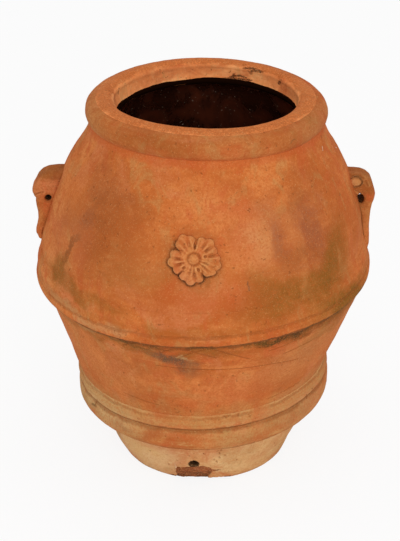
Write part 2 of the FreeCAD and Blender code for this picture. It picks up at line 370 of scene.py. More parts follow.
def scoreLines(piece, marks):
    # Scratches, pressed in and marked for the material
    places, near = refineAlong(piece, marks)
    turn, height, radius = turnAndHeight(places)
    halfWidth = marks["halfWidth"]
    groove = hump(near, halfWidth)
    lip = 0.35 * hump(near - 2.0 * halfWidth, halfWidth)
    outside = radius > np.interp(height, *zip(*wall["core"]))
    press = np.where(outside, (groove - lip) * marks["depth"], 0)
    places[:, :2] *= (1 - press / np.maximum(radius, 1))[:, None]
    writePlaces(piece, places)
    # the grooves are painted darker
    paint(piece, "scoreAndShade", np.maximum(readLayer(piece, "scoreAndShade"), np.where(outside, groove, 0)))


def paintRuns(piece, runs):
    # Glaze that ran over the bare clay
    places, near = refineAlong(piece, runs)
    near = near + runs["raggedDepth"] * noiseAt(places, runs["ragged"])
    paint(piece, "shadeAndDirt", runs["strength"] * portion(runs["halfWidth"] - near, runs["edge"]))


def finishPiece(piece, material, slot, *nodes):
    piece.data.materials.clear()
    piece.data.materials.append(material)
    makeActive(piece)
    bpy.ops.object.shade_smooth()
    clearSelection()
    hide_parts(*nodes)
    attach(piece, "root")
    print(piece.name, "has", len(piece.data.polygons), "faces")


# Materials

def bare(value):
    # The socket itself, or a plain value as it is
    return value.socket if isinstance(value, Wire) else value


def addNode(tree, kind, inputs=None, **settings):
    made = tree.nodes.new("ShaderNode" + kind)
    for name, value in settings.items():
        setattr(made, name, value)
    for name, value in (inputs or {}).items():
        if isinstance(bare(value), bpy.types.NodeSocket):
            tree.links.new(bare(value), made.inputs[name])
        else:
            made.inputs[name].default_value = value
    return made


def wired(tree, kind, inputs=None, output=0, **settings):
    return Wire(tree, addNode(tree, kind, inputs, **settings).outputs[output])


class Wire:
    # What comes out of a node; it takes plain arithmetic
    def __init__(self, tree, socket):
        self.tree = tree
        self.socket = socket

    def maths(self, operation, *others, clamp=False):
        inputs = dict(enumerate((self, *others)))
        return wired(self.tree, "Math", inputs, operation=operation, use_clamp=clamp)

    def __add__(self, other):
        return self.maths("ADD", other)

    def __sub__(self, other):
        return self.maths("SUBTRACT", other)

    def __mul__(self, other):
        return self.maths("MULTIPLY", other)

    def __truediv__(self, other):
        return self.maths("DIVIDE", other)

    def band(self, low, high, toLow=0.0, toHigh=1.0):
        inputs = {"Value": self, "From Min": low, "From Max": high, "To Min": toLow,
                  "To Max": toHigh}
        return wired(self.tree, "MapRange", inputs, interpolation_type="SMOOTHSTEP")

    def over(self, under, top):
        # Lays one colour over another by this amount
        colours = {6: under, 7: top}
        for index, value in colours.items():
            if not isinstance(value, Wire):
                colours[index] = (*value, 1)
        return wired(self.tree, "Mix", {0: self, **colours}, 2, data_type="RGBA")


def cloud(place, stretch, scale, detail=4.0, roughness=0.55, distortion=0.0, output="Fac"):
    if stretch:
        place = wired(place.tree, "Mapping", {"Vector": place, "Scale": stretch})
    inputs = {"Vector": place, "Scale": scale, "Detail": detail, "Roughness": roughness,
              "Distortion": distortion}
    return wired(place.tree, "TexNoise", inputs, output)


def layerValue(tree, layerName):
    return wired(tree, "Attribute", None, "Fac", attribute_name=layerName)


def emptyMaterial(name):
    material = bpy.data.materials.new(name)
    material.use_nodes = True
    material.node_tree.nodes.clear()
    return material


def showClay(tree, colour, relief, strength, distance, roughness, shine):
    bump = wired(tree, "Bump", {"Height": relief, "Strength": strength, "Distance": distance})
    shader = wired(tree, "BsdfPrincipled", {"Base Color": colour, "Normal": bump,
                                            "Roughness": roughness, "Specular IOR Level": shine})
    addNode(tree, "OutputMaterial", {"Surface": shader})


spotInputs = ("turn", "height", "atTurn", "atHeight", "halfTurn", "halfHeight", "slant", "edge")


def spotGroup():
    # One stain: how much of it covers a place, given by its turn round the jar and its height
    group = bpy.data.node_groups.new("stainSpot", "ShaderNodeTree")
    face = group.interface
    for name in spotInputs:
        face.new_socket(name=name, in_out="INPUT", socket_type="NodeSocketFloat")
    face.new_socket(name="cover", in_out="OUTPUT", socket_type="NodeSocketFloat")
    start = group.nodes.new("NodeGroupInput").outputs
    end = group.nodes.new("NodeGroupOutput")
    turn, height, atTurn, atHeight, halfTurn, halfHeight, slant, edge = [
        Wire(group, start[name]) for name in spotInputs]
    across = (turn - atTurn).maths("WRAP", 180.0, -180.0) / halfTurn
    rise = (height - atHeight) / halfHeight - across * slant
    far = (across * across + rise * rise).maths("SQRT")
    cover = far.band(edge + 1.0, edge * -1.0 + 1.0)
    group.links.new(cover.socket, end.inputs["cover"])
    return group


stainSpot = spotGroup()

# Colours of the clay and of what has settled on it, as linear red, green and blue
tones = {
    "orange": (0.580, 0.160, 0.036),
    "lightOrange": (0.640, 0.220, 0.062),
    "deepOrange": (0.450, 0.108, 0.021),
    "brick": (0.500, 0.092, 0.022),
    "salmon": (0.590, 0.190, 0.072),
    "plum": (0.300, 0.094, 0.045),
    "umber": (0.220, 0.062, 0.013),
    "olive": (0.210, 0.084, 0.010),
    "moss": (0.050, 0.028, 0.008),
    "sand": (0.520, 0.310, 0.130),
    "peach": (0.860, 0.300, 0.095),
    # pale tone of worn clay, also used for painted highlight on crests
    "wearAndHighlight": (0.760, 0.380, 0.145),
    "grape": (0.320, 0.092, 0.037),
    "ember": (0.300, 0.068, 0.020),
    "oxblood": (0.090, 0.016, 0.006),
    "soot": (0.100, 0.056, 0.032),
    "tan": (0.450, 0.235, 0.075),
    "cream": (0.680, 0.410, 0.175),
    "rust": (0.200, 0.046, 0.012),
    "lime": (0.780, 0.640, 0.480),
    "shade": (0.030, 0.011, 0.004),
    "glaze": (0.034, 0.0085, 0.0035),
    "glazeRun": (0.115, 0.024, 0.009),
    "glazeEnd": (0.008, 0.0025, 0.001),
    "pinholeGlint": (0.42, 0.34, 0.27),
}

# Clouds in the clay: stretch, scale per metre, detail, roughness and distortion
clayClouds = {
    "large": (None, 5.5, 6.0, 0.62, 0.4),
    "middle": ((1.0, 1.0, 1.7), 17.0, 6.0, 0.66, 0.6),
    "fine": (None, 62.0, 5.0, 0.7, 0.4),
    "bloom": (None, 8.0, 5.0, 0.6, 0.8),
    "smears": ((1.0, 1.0, 0.42), 21.0, 5.0, 0.6, 1.2),
    "streaks": ((2.0, 2.0, 34.0), 4.0, 5.0, 0.6, 0.3),
    "ragged": (None, 26.0, 6.0, 0.7, 0.5),
    "drips": ((30.0, 30.0, 1.6), 1.0, 3.0, 0.6),
    "grain": (None, 230.0, 3.0, 0.7),
    "fleck": (None, 620.0, 2.0, 0.6),
    "pores": (None, 170.0, 1.0, 0.4, 0.6),
    "lumps": (None, 60.0, 5.0, 0.65),
}

# Coats of colour: the cloud, where it starts and where it is full, how much of it, and its tone;
# the streaks are the level marks of the hand and the wheel
clayCoats = [
    ("large", 0.40, 0.54, 1.0, "base"), ("large", 0.52, 0.66, 1.0, "light"),
    ("middle", 0.48, 0.66, 0.85, "deep"), ("middle", 0.48, 0.29, 0.65, "light"),
    ("fine", 0.52, 0.68, 0.62, "deep"), ("fine", 0.46, 0.30, 0.58, "light"),
    ("bloom", 0.53, 0.66, 0.55, "salmon"), ("bloom", 0.46, 0.32, 0.60, "brick"),
    ("smears", 0.53, 0.66, 0.65, "brick"), ("smears", 0.46, 0.33, 0.45, "tan"),
    ("streaks", 0.52, 0.70, 0.55, "deep"), ("streaks", 0.46, 0.30, 0.45, "light"),
]
grainCoats = [
    ("grain", 0.46, 0.66, 0.55, "deep"), ("grain", 0.46, 0.28, 0.45, "light"),
    ("fleck", 0.62, 0.72, 0.50, "cream"),
]


def terracotta(name, base, light, deep, stains=(), rings=(), streak=0.5):
    # base, light and deep are tones; stains are spots by place, rings follow the jar's own heights
    material = emptyMaterial(name)
    tree = material.node_tree
    place = wired(tree, "TexCoord", None, "Object")
    form, scoreAndShade, broken, shadeAndDirt, wearAndHighlight = [
        layerValue(tree, layer) for layer in ("formHeight", "scoreAndShade", "broken", "shadeAndDirt", "wearAndHighlight")]
    clouds = {label: cloud(place, *values) for label, values in clayClouds.items()}
    middle, fine, grain = clouds["middle"], clouds["fine"], clouds["grain"]
    own = {**tones, "base": base, "light": light, "deep": deep}

    def coated(colour, coats):
        for label, low, high, most, tone in coats:
            most *= streak if label == "streaks" else 1
            colour = clouds[label].band(low, high, 0.0, most).over(colour, own[tone])
        return colour

    # Coordinates that wander, so that every stain has a broken edge
    drift = cloud(place, None, 11.0, 5.0, 0.62, output="Color")
    drift = wired(tree, "VectorMath", {0: drift, 1: (0.5, 0.5, 0.5)}, operation="SUBTRACT")
    drift = wired(tree, "VectorMath", {0: drift, "Scale": 0.11}, operation="SCALE")
    loose = wired(tree, "VectorMath", {0: place, 1: drift}, operation="ADD")
    x, y, z = [Wire(tree, part) for part in addNode(tree, "SeparateXYZ", {0: loose}).outputs]
    turn = x.maths("ARCTAN2", y * -1.0).maths("DEGREES")
    height = z * 1000.0

    colour = coated(deep, clayCoats)
    smeared = clouds["smears"].band(0.30, 0.58, 0.62, 1.0)
    mottled = middle.band(0.20, 0.62, 0.45, 1.0)
    for *values, tone, strength in stains:
        inputs = dict(zip(spotInputs, (turn, height, *values)))
        patch = wired(tree, "Group", inputs, node_tree=stainSpot) * strength * smeared
        patch = patch.maths("MULTIPLY", mottled, clamp=True)
        colour = patch.over(colour, tones[tone])

    # Colour along the rings, stains and painted shade and highlight by the mouldings, by the height
    # the ring had before the jar leaned
    drips = clouds["drips"].band(0.30, 0.70, -1.0, 1.0)
    level = form * 1000.0 + clouds["ragged"].band(0.2, 0.8, -4.0, 4.0)
    for low, high, soft, tone, strength, patchy, drip in rings:
        dripped = level + drips * drip
        inside = dripped.band(low - soft, low + soft) * dripped.band(high + soft, high - soft)
        holes = clouds["bloom"].band(0.34, 0.58, 1.0 - patchy, 1.0)
        colour = (inside * strength * holes).over(colour, tones[tone])

    # Scored lines and painted shade, broken clay, painted highlight on crests, painted shade with
    # glaze runs
    # scored lines, and painted shade in hollows, folds and creases, in umber
    colour = (scoreAndShade * 0.62).over(colour, tones["umber"])
    raw = fine.band(0.38, 0.62).over(tones["rust"], tones["ember"])
    raw = middle.band(0.45, 0.62, 0.0, 0.35).over(raw, tones["salmon"])
    colour = broken.over(colour, raw)
    # painted highlight on crests and raised pads, in the pale tone
    colour = (wearAndHighlight * 0.50).over(colour, tones["wearAndHighlight"])
    # painted shade in holes, creases, hollows and beside the rosette, with glaze runs and darker
    # broken clay
    colour = shadeAndDirt.over(colour, tones["shade"])

    # Fine grain, sandy specks and pores
    colour = coated(colour, grainCoats)
    pore = clouds["pores"].band(0.69, 0.76) * middle.band(0.40, 0.55, 0.35, 1.0)
    colour = (pore * 0.60).over(colour, tones["umber"])
    relief = grain * 0.8 + clouds["lumps"] * 1.6 - pore * 0.8 + clouds["streaks"] * (0.8 * streak)
    showClay(tree, colour, relief, 0.7, 0.0010, grain.band(0.2, 0.8, 0.86, 0.99), 0.10)
    return material


# Stains: turn in degrees right of the front, height in mm, half sizes, slant, edge, tone, strength
shoulderStains = [
    (42, 606, 10, 60, 0.3, 0.9, "grape", 0.75),
    (29, 612, 6, 50, 0.4, 0.9, "grape", 0.35),
    (28.8, 602, 3.2, 34, 0.10, 0.7, "grape", 1.1),
    (44.6, 596, 3.0, 32, 0.15, 0.8, "grape", 0.8),
    (25, 656, 5.0, 20, 0.0, 0.8, "grape", 0.6),
    (42, 668, 5.0, 26, 0.2, 0.8, "umber", 0.45),
    (36.6, 606, 3.0, 44, 0.15, 0.8, "lightOrange", 0.4),
    (21, 592, 3.6, 40, 0.1, 0.8, "sand", 0.3),
    (36, 560, 9, 26, -0.4, 0.7, "umber", 0.45),
    (-42, 650, 12, 40, -0.4, 0.7, "plum", 0.50),
    (-50, 612, 3.4, 20, 0.0, 0.7, "plum", 1.0),
    (-31, 640, 12, 30, 0.0, 0.8, "umber", 0.45),
    (-58, 600, 7, 40, 0.3, 0.8, "umber", 0.40),
    (-22, 560, 12, 40, 0.2, 0.8, "tan", 0.30),
    (20, 600, 8, 60, 0.3, 0.9, "wearAndHighlight", 0.25),
    (-36, 610, 14, 60, -0.5, 0.8, "deepOrange", 0.55),
    (-24, 600, 14, 50, 0.0, 0.8, "deepOrange", 0.55),
    (51, 530, 9, 44, 0.6, 0.6, "olive", 0.95),
    (35, 490, 20, 36, 0.2, 0.7, "olive", 0.95),
    (22, 515, 10, 30, 0.2, 0.7, "olive", 0.65),
    (-54.2, 528, 2.9, 16, 2.2, 0.4, "umber", 1.8),
    (-57.0, 488, 4.4, 34, 0.3, 0.8, "olive", 0.85),
    (-48, 470, 20, 15, -0.6, 0.6, "olive", 0.70),
    (-18, 520, 20, 40, 0.0, 0.8, "olive", 0.25),
    (0, 500, 20, 26, 0.0, 0.9, "brick", 0.60),
    # painted shadow round the rosette's edge, mostly hidden under it
    (-2.8, 574, 10.0, 51, 0.0, 0.20, "umber", 0.36),
    (2.3, 546, 1.2, 5, 0.0, 0.4, "umber", 0.80),
    (-8, 700, 14, 26, 0.0, 0.9, "deepOrange", 0.35),
    (12, 650, 16, 40, 0.0, 0.9, "salmon", 0.25),
    (-46, 600, 17, 90, 0.0, 0.9, "umber", 0.58),
    (50, 610, 16, 90, 0.0, 0.9, "umber", 0.14),
    (8, 560, 18, 34, 0.0, 0.9, "lightOrange", 0.35),
    (-58, 560, 12, 60, 0.0, 0.8, "salmon", 0.35),
    (66, 570, 10, 60, 0.0, 0.8, "deepOrange", 0.45),
    (-70, 640, 14, 44, 0.0, 0.8, "orange", 0.45),
    (14.6, 517, 0.9, 2.5, 0.0, 0.4, "soot", 0.70),
    (56, 432, 15, 28, 0.0, 0.7, "olive", 1.4),
    (-44, 427, 22, 9, 0.0, 0.6, "sand", 0.60),
    (70, 712, 0.9, 2.6, 0.0, 0.4, "lime", 0.9),
    (88, 672, 0.8, 2.4, 0.0, 0.4, "lime", 0.9),
    (140, 560, 30, 60, 0.4, 0.8, "plum", 0.40),
    (-130, 520, 34, 50, -0.3, 0.8, "olive", 0.45),
    (165, 470, 40, 30, 0.0, 0.8, "umber", 0.40),
    (-160, 650, 26, 40, 0.2, 0.8, "salmon", 0.45),
]
shoulderRings = [
    (728, 752, 5, "brick", 0.60, 0.3, 0),
    (436, 474, 9, "olive", 0.40, 0.7, 7),
    (433, 444, 4, "umber", 0.30, 0.6, 2),
]
coneStains = [
    (-16, 384, 8, 16, -0.8, 0.7, "soot", 0.85),
    (-9, 372, 7, 14, -0.8, 0.7, "soot", 0.85),
    (-4, 344, 3.2, 24, 0.0, 0.8, "soot", 0.80),
    (-5.6, 376, 2.4, 6, 0.0, 0.6, "sand", 0.85),
    (2, 388, 10, 10, 0.2, 0.7, "umber", 0.45),
    (18, 275, 16, 40, 0.0, 0.8, "brick", 0.75),
    (2, 250, 12, 30, 0.0, 0.9, "brick", 0.55),
    (36, 300, 14, 60, 0.3, 0.8, "olive", 0.16),
    (46, 350, 20, 60, 0.2, 0.9, "sand", 0.34),
    (-40, 330, 26, 80, 0.0, 0.9, "sand", 0.12),
    # moss under the ridge, painted dark enough to stand also for the shade of its undercut
    (24, 411, 22, 9, 0.5, 0.6, "moss", 1.3),
    (46, 416, 13, 10, 0.4, 0.6, "moss", 1.2),
    (44, 404, 14, 10, 0.3, 0.6, "umber", 1.2),
    (-26, 404, 17, 5, 0.4, 0.6, "moss", 0.8),
    # painted light, lifting the shade under the ridge on the left
    (-50, 404, 16, 9, 0.0, 0.8, "sand", 0.7),
    (-8, 300, 0.9, 34, 0.0, 0.6, "peach", 0.22),
    (-2, 286, 0.7, 30, 0.0, 0.6, "peach", 0.22),
    (4, 292, 0.8, 36, 0.0, 0.6, "peach", 0.22),
    (11, 300, 0.9, 30, 0.0, 0.6, "peach", 0.22),
    (17, 294, 0.7, 32, 0.0, 0.6, "peach", 0.22),
    (-27, 310, 1.0, 34, 0.0, 0.6, "wearAndHighlight", 0.35),
    (-30, 300, 7, 60, 0.3, 0.8, "umber", 0.28),
    (-20, 240, 8, 36, 0.0, 0.8, "umber", 0.35),
    (-48, 340, 10, 60, 0.0, 0.8, "lightOrange", 0.40),
    (60, 330, 12, 60, 0.0, 0.8, "orange", 0.45),
    (54, 384, 14, 16, 0.8, 0.6, "olive", 0.55),
    (120, 320, 30, 60, 0.3, 0.8, "olive", 0.40),
    (-120, 340, 30, 50, -0.3, 0.8, "plum", 0.38),
    (170, 280, 34, 50, 0.0, 0.8, "brick", 0.45),
]
coneRings = [
    # moss under the ridge, also standing for the shade of its undercut
    (405, 424, 3, "moss", 0.75, 0.5, 3),
    (386, 408, 8, "olive", 0.50, 0.8, 10),
    (190, 232, 18, "tan", 0.45, 0.6, 16),
    (236, 330, 26, "lightOrange", 0.30, 0.8, 30),
]
mouldingStains = [
    (-58, 176, 28, 40, 0.0, 0.8, "sand", 1.4),
    (-50, 180, 16, 40, 0.0, 0.8, "cream", 0.35),
    (-62, 146, 14, 12, 0.0, 0.8, "olive", 0.30),
    (44, 170, 24, 34, 0.0, 0.8, "sand", 0.50),
    (-22, 150, 5, 12, 0.0, 0.6, "brick", 0.55),
    (-37, 164, 5, 9, 0.0, 0.7, "rust", 0.40),
    (29, 150, 7, 10, 0.0, 0.7, "brick", 0.45),
    (-57, 150, 2.0, 4.0, 0.0, 0.5, "moss", 0.70),
    (-4, 160, 8, 16, 0.0, 0.7, "brick", 0.60),
    (14, 166, 8, 14, 0.0, 0.7, "tan", 0.60),
    (-26, 150, 14, 14, 0.0, 0.8, "umber", 0.40),
    (40, 160, 20, 18, 0.0, 0.8, "olive", 0.30),
    (130, 160, 30, 22, 0.0, 0.8, "umber", 0.35),
    (-150, 165, 30, 20, 0.0, 0.8, "tan", 0.45),
]
bandRings = [
    # painted shade in the groove under the roll, and where the band curves into the foot
    (173, 190, 3, "umber", 0.60, 0.4, 1),
    (118, 131, 4, "umber", 0.50, 0.6, 3),
]
rollRings = [
    # painted shade under the roll's lower edge
    (176, 184, 2, "umber", 0.65, 0.3, 1),
    (188, 216, 5, "tan", 0.45, 0.7, 6),
    (203, 209, 1.5, "umber", 0.40, 0.7, 1),
    # painted highlight line along the top of the roll
    (210, 215, 1.5, "cream", 0.30, 0.8, 1),
]
footStains = [
    (-42, 62, 24, 50, 0.0, 0.8, "lime", 0.45),
    (-42, 62, 22, 44, 0.0, 0.8, "cream", 1.20),
    (34, 66, 22, 40, 0.0, 0.8, "cream", 0.50),
    (-17.6, 24, 0.5, 16, 0.0, 0.5, "lime", 0.80),
    (-28, 95, 14, 18, 0.0, 0.8, "salmon", 0.55),
    (-61, 57, 6, 40, 0.0, 0.7, "olive", 0.55),
    (22, 74, 10, 24, 0.0, 0.6, "umber", 0.25),
    (8, 100, 16, 18, 0.0, 0.8, "salmon", 0.45),
    (60, 60, 16, 40, 0.0, 0.8, "tan", 0.35),
    (140, 60, 40, 40, 0.0, 0.8, "tan", 0.45),
    (-140, 70, 40, 30, 0.0, 0.8, "salmon", 0.40),
]
footRings = [
    (112, 130, 6, "salmon", 0.55, 0.4, 4),
    # painted shade under the band's edge
    (116, 130, 3, "umber", 0.40, 0.6, 2),
    (-10, 5, 4, "umber", 0.45, 0.6, 2),
]
rimStains = [
    (-70, 765, 18, 20, 0.0, 0.8, "tan", 0.50),
    (-24, 760, 14, 16, 0.0, 0.8, "olive", 0.22),
    (45, 764, 2.0, 3.0, 0.0, 0.5, "moss", 0.60),
    (60, 770, 14, 20, 0.0, 0.8, "tan", 0.35),
    (0, 745, 30, 8, 0.0, 0.8, "brick", 0.35),
    (170, 768, 50, 10, 0.0, 0.8, "brick", 0.45),
    (180, 778, 70, 16, 0.0, 0.9, "brick", 0.40),
    (0, 770, 50, 22, 0.0, 0.9, "umber", 0.16),
    (-120, 770, 30, 20, 0.0, 0.8, "salmon", 0.35),
]
rimRings = [
    (735, 786, 12, "umber", 0.20, 0.7, 8),
    # painted shade, dark red, under the rim roll where it meets the neck
    (728, 744, 4, "brick", 0.65, 0.3, 2),
    (728, 739, 2, "umber", 0.62, 0.5, 1),
]
collarStains = [
    (157, 759, 7.0, 5, 0.0, 0.4, "rust", 1.2),
    (145, 779, 6.0, 3.4, 0.0, 0.4, "rust", 1.2),
    (-20, 788, 24, 8, 0.0, 0.8, "brick", 0.50),
    (24, 788, 20, 8, 0.0, 0.8, "umber", 0.40),
    (180, 789, 60, 8, 0.0, 0.9, "brick", 0.50),
    (122, 773, 1.5, 6, 0.0, 0.5, "oxblood", 1.5),
    (-111, 769, 1.2, 5, 0.0, 0.5, "oxblood", 1.4),
    (-150, 770, 20, 8, 0.3, 0.8, "brick", 0.6),
]
collarRings = [
    (738, 750.5, 1.2, "umber", 0.50, 0.5, 1),
    (784, 800, 3, "deepOrange", 0.85, 0.1, 0),
    (784, 800, 3, "umber", 0.14, 0.6, 0),
]
handleStains = [
    (-90, 628, 16, 20, 0.0, 0.8, "umber", 0.85),
    (90, 624, 16, 12, 0.0, 0.8, "umber", 0.45),
    (-90, 592, 16, 15, 0.0, 0.8, "salmon", 0.70),
    (-90, 500, 16, 20, 0.0, 0.8, "brick", 0.60),
    (90, 590, 12, 10, 0.0, 0.8, "brick", 0.30),
    (90, 520, 16, 40, 0.0, 0.8, "lightOrange", 0.45),
]
ridgeRings = [
    # moss on the ridge's underside, also standing for the shade there
    (408, 417.5, 1.5, "moss", 0.90, 0.35, 1),
    (432.2, 437.6, 1.4, "umber", 0.38, 0.5, 0),
    (437, 452, 5, "olive", 0.25, 0.7, 4),
]

# Base, light and deep tone of each clay, its stains, its rings and the strength of the streaks
recipes = {
    "shoulder": (tones["orange"], tones["lightOrange"], tones["deepOrange"], shoulderStains,
                 shoulderRings),
    "cone": (tones["orange"], tones["lightOrange"], tones["deepOrange"], coneStains, coneRings,
             1.0),
    "foot": ((0.69, 0.385, 0.162), (0.77, 0.50, 0.235), (0.59, 0.265, 0.094), footStains,
             footRings, 0.6),
    "band": ((0.560, 0.205, 0.058), (0.560, 0.300, 0.105), (0.450, 0.128, 0.030), mouldingStains,
             bandRings, 0.8),
    "roll": ((0.580, 0.205, 0.058), (0.600, 0.310, 0.115), (0.480, 0.135, 0.033), mouldingStains,
             rollRings, 0.8),
    "rim": ((0.520, 0.150, 0.036), (0.600, 0.215, 0.064), (0.410, 0.100, 0.021), rimStains,
            rimRings, 0.8),
    # lighter clay, partly painted light for the collar's lit inner face
    "collar": ((0.940, 0.350, 0.118), (0.970, 0.450, 0.172), (0.850, 0.270, 0.080), collarStains,
               collarRings, 0.9),
    "ridge": (tones["orange"], tones["lightOrange"], tones["deepOrange"], shoulderStains,
              ridgeRings, 0.6),
    "ornament": ((0.590, 0.212, 0.058), (0.650, 0.280, 0.098), (0.480, 0.135, 0.032), (), (), 0.1),
    "volute": ((0.520, 0.215, 0.070), (0.560, 0.290, 0.110), (0.440, 0.150, 0.040), (), (), 0.1),
    "handle": ((0.480, 0.148, 0.038), (0.560, 0.200, 0.056), (0.340, 0.095, 0.020), handleStains,
               (), 0.3),
}
clay = {label: terracotta(label + "Terracotta", *recipe) for label, recipe in recipes.items()}


def glazeMaterial():
    material = emptyMaterial("brownGlaze")
    tree = material.node_tree
    place = wired(tree, "TexCoord", None, "Object")
    runs = cloud(place, (6.0, 6.0, 1.4), 3.0, 5.0, 0.6, 0.5)
    lip = layerValue(tree, "formHeight").band(0.735, 0.745)    # the end of the coat, thin and dull
    colour = runs.band(0.40, 0.66).over(tones["glaze"], tones["glazeRun"])
    # pale specks: pinholes and painted glints
    pinholeGlints = cloud(place, None, 190.0, 1.0, 0.5).band(0.71, 0.76, 0.0, 0.8)
    colour = lip.over(pinholeGlints.over(colour, tones["pinholeGlint"]), tones["glazeEnd"])
    relief = runs * 2.0 + cloud(place, None, 45.0, 3.0)
    rough = runs.band(0.3, 0.7, 0.20, 0.38) + lip * 0.5
    showClay(tree, colour, relief, 0.3, 0.0012, rough, (lip * -1.0 + 1.0) * 0.42)
    return material


print("materials ready")


# Wall pieces

foot = {
    "top": 126,
    "lipRound": 2.0,      # worn edge at the ground
    "holeRadius": 10.7,
    "holeHeight": 54.5,
    "holeTurn": math.radians(-5.9),    # to the right of the front
    "outer": [(-5, 177), (0, 179), (60, 206), (122, 222)],    # height and radius of its face
    # the broken place: sideways, its lower and its upper edge, in mm
    "chip": [(-54, 22, 26), (-51, 14, 34), (-49, 2, 38), (-46, -2, 40), (-35, -2, 41),
             (-26, -2, 44), (-15, -2, 46), (-4, -2, 49), (8, -2, 48), (14, -2, 44), (17, 14, 43),
             (24, 27, 37), (31, 28, 34), (37, 30, 33), (42, 31, 31)],
    "chipReach": 13,      # how far into the wall it may go
    "groundHalf": 62,     # how far to both sides the ground edge is worn flat, and how high
    "groundHigh": 6,
    "face": (169.5, 0.60),    # the broken face: distance in front of the axis, and its slope
    "least": (-5, 47, 1.8),   # least depth: middle of the place, half its width, depth
    "rubble": (130, 2.4, 1.4),    # noise per metre, how far it moves the edge and the face
    "flakes": (420, 1.2, 0.8),
    "shadeLow": (14, 12),        # painted shade of the ground edge below this height, over this much
    # the broken face is darker below this height, over this much
    "darkerLow": (44, 34),
    "shadeAndDirt": (0.42, 0.5, 0.3),     # how much darker the broken face is: all over, in the rubble, in the flakes
    "pits": {
        "lines": [[(10.0, 91), (10.5, 86)], [(10.8, 73), (10.3, 76)], [(9.0, 64), (9.2, 60)],
                  [(11.0, 99), (10.8, 97)], [(1.6, 89), (1.7, 88)], [(13.4, 82), (13.6, 79)],
                  [(7.4, 70), (7.5, 69)], [(-19.5, 44), (-19.8, 42)], [(21, 60), (21.2, 58)],
                  [(-31, 70), (-31.2, 69)]],
        "reach": 5.0,
        "cuts": 2,
        "halfWidth": 1.5,
        "depth": 1.8,
    },
}


def faceRadius(heights):
    return np.interp(heights, *zip(*foot["outer"]))


def boreSpigot(piece):
    # Cuts the spigot hole through the wall at the front
    turn, height = foot["holeTurn"], foot["holeHeight"]
    reach = wallRadius(height) - wall["thickness"] / 2
    clearSelection()
    bpy.ops.mesh.primitive_cylinder_add(
        vertices=48, radius=foot["holeRadius"] * mm, depth=80 * mm, rotation=(math.pi / 2, 0, turn),
        location=(reach * math.sin(turn) * mm, -reach * math.cos(turn) * mm, height * mm))
    drill = bpy.context.active_object
    bpy.ops.object.transform_apply(location=True, rotation=True, scale=True)
    settle(drill)
    cutAway(piece, drill)


def insideChip(places):
    # How deep in mm a place lies inside the chip's outline, below zero outside it
    x, y, z = places.T / mm
    across, lower, upper = zip(*foot["chip"])
    low, high = np.interp(x, across, lower), np.interp(x, across, upper)
    depth = np.minimum(np.minimum(high - z, z - low), np.minimum(x - across[0], across[-1] - x))
    wearAndHighlight = np.minimum(foot["groundHigh"] - z, foot["groundHalf"] - np.abs(x))
    outside = (np.hypot(x, y) > faceRadius(z) - foot["chipReach"]) & (y < 0)
    return np.where(outside, np.maximum(depth, wearAndHighlight), -100)


def breakChip(piece):
    # The piece knocked out of the ground edge below the hole
    refine(piece, insideChip(faceMiddles(piece)) > -4, 3)
    places = readPlaces(piece)
    x, y, z = places.T / mm
    perRubble, rubbleEdge, rubbleFace = foot["rubble"]
    perFlake, flakeEdge, flakeFace = foot["flakes"]
    rubble, flakes = noiseAt(places, perRubble), noiseAt(places, perFlake)
    depth = insideChip(places) + rubbleEdge * rubble + flakeEdge * flakes
    face, slope = foot["face"]
    middle, halfWidth, least = foot["least"]
    press = np.maximum(-y - face - slope * z, np.where(np.abs(x - middle) < halfWidth, least, 0))
    press = (press + rubbleFace * rubble + flakeFace * flakes) * portion(depth, 1.2)
    press = np.where(depth > 0, np.maximum(press, 0), 0)
    places[:, :2] *= (1 - press / np.hypot(x, y))[:, None]
    writePlaces(piece, places)
    paint(piece, "broken", portion(depth, 1) * portion(press, 1))
    # painted shade on the broken face near the ground
    top, fade = foot["shadeLow"]
    paint(piece, "scoreAndShade", 0.9 * portion(top - z, fade) * portion(depth, 2))
    # the broken face darker lower down, in the rubble and in the flakes
    top, fade = foot["darkerLow"]
    deep = np.clip((top - z) / fade, 0.2, 1) * portion(depth, 1.5)
    plain, inRubble, inFlakes = foot["shadeAndDirt"]
    paint(piece, "shadeAndDirt", deep * (plain + inRubble * rubble + inFlakes * flakes))


def darkenBore(piece):
    # The inside of the hole, which no light reaches
    x, y, z = readPlaces(piece).T / mm
    x -= shiftAt(z)
    sine, cosine = math.sin(foot["holeTurn"]), math.cos(foot["holeTurn"])
    along, side = x * sine - y * cosine, x * cosine + y * sine
    away = np.hypot(side, z - foot["holeHeight"])
    inside = (away < foot["holeRadius"] + 1.0) & (along > 0) & (along < faceRadius(z) - 0.4)
    paint(piece, "shadeAndDirt", np.where(inside, 0.97, readLayer(piece, "shadeAndDirt")))


def buildFoot():
    lip = foot["lipRound"]
    outer = wallStretch(lip, foot["top"], 0, wall["spacing"])
    start = [(wallRadius(0) - lip, 0)]
    piece = ringPiece("footWall", start + outer + innerFace(0, foot["top"]))
    breakChip(piece)
    scoreLines(piece, foot["pits"])
    boreSpigot(piece)
    darkenBore(piece)
    finishPiece(piece, clay["foot"], "foot_terracotta", "foot_wall")


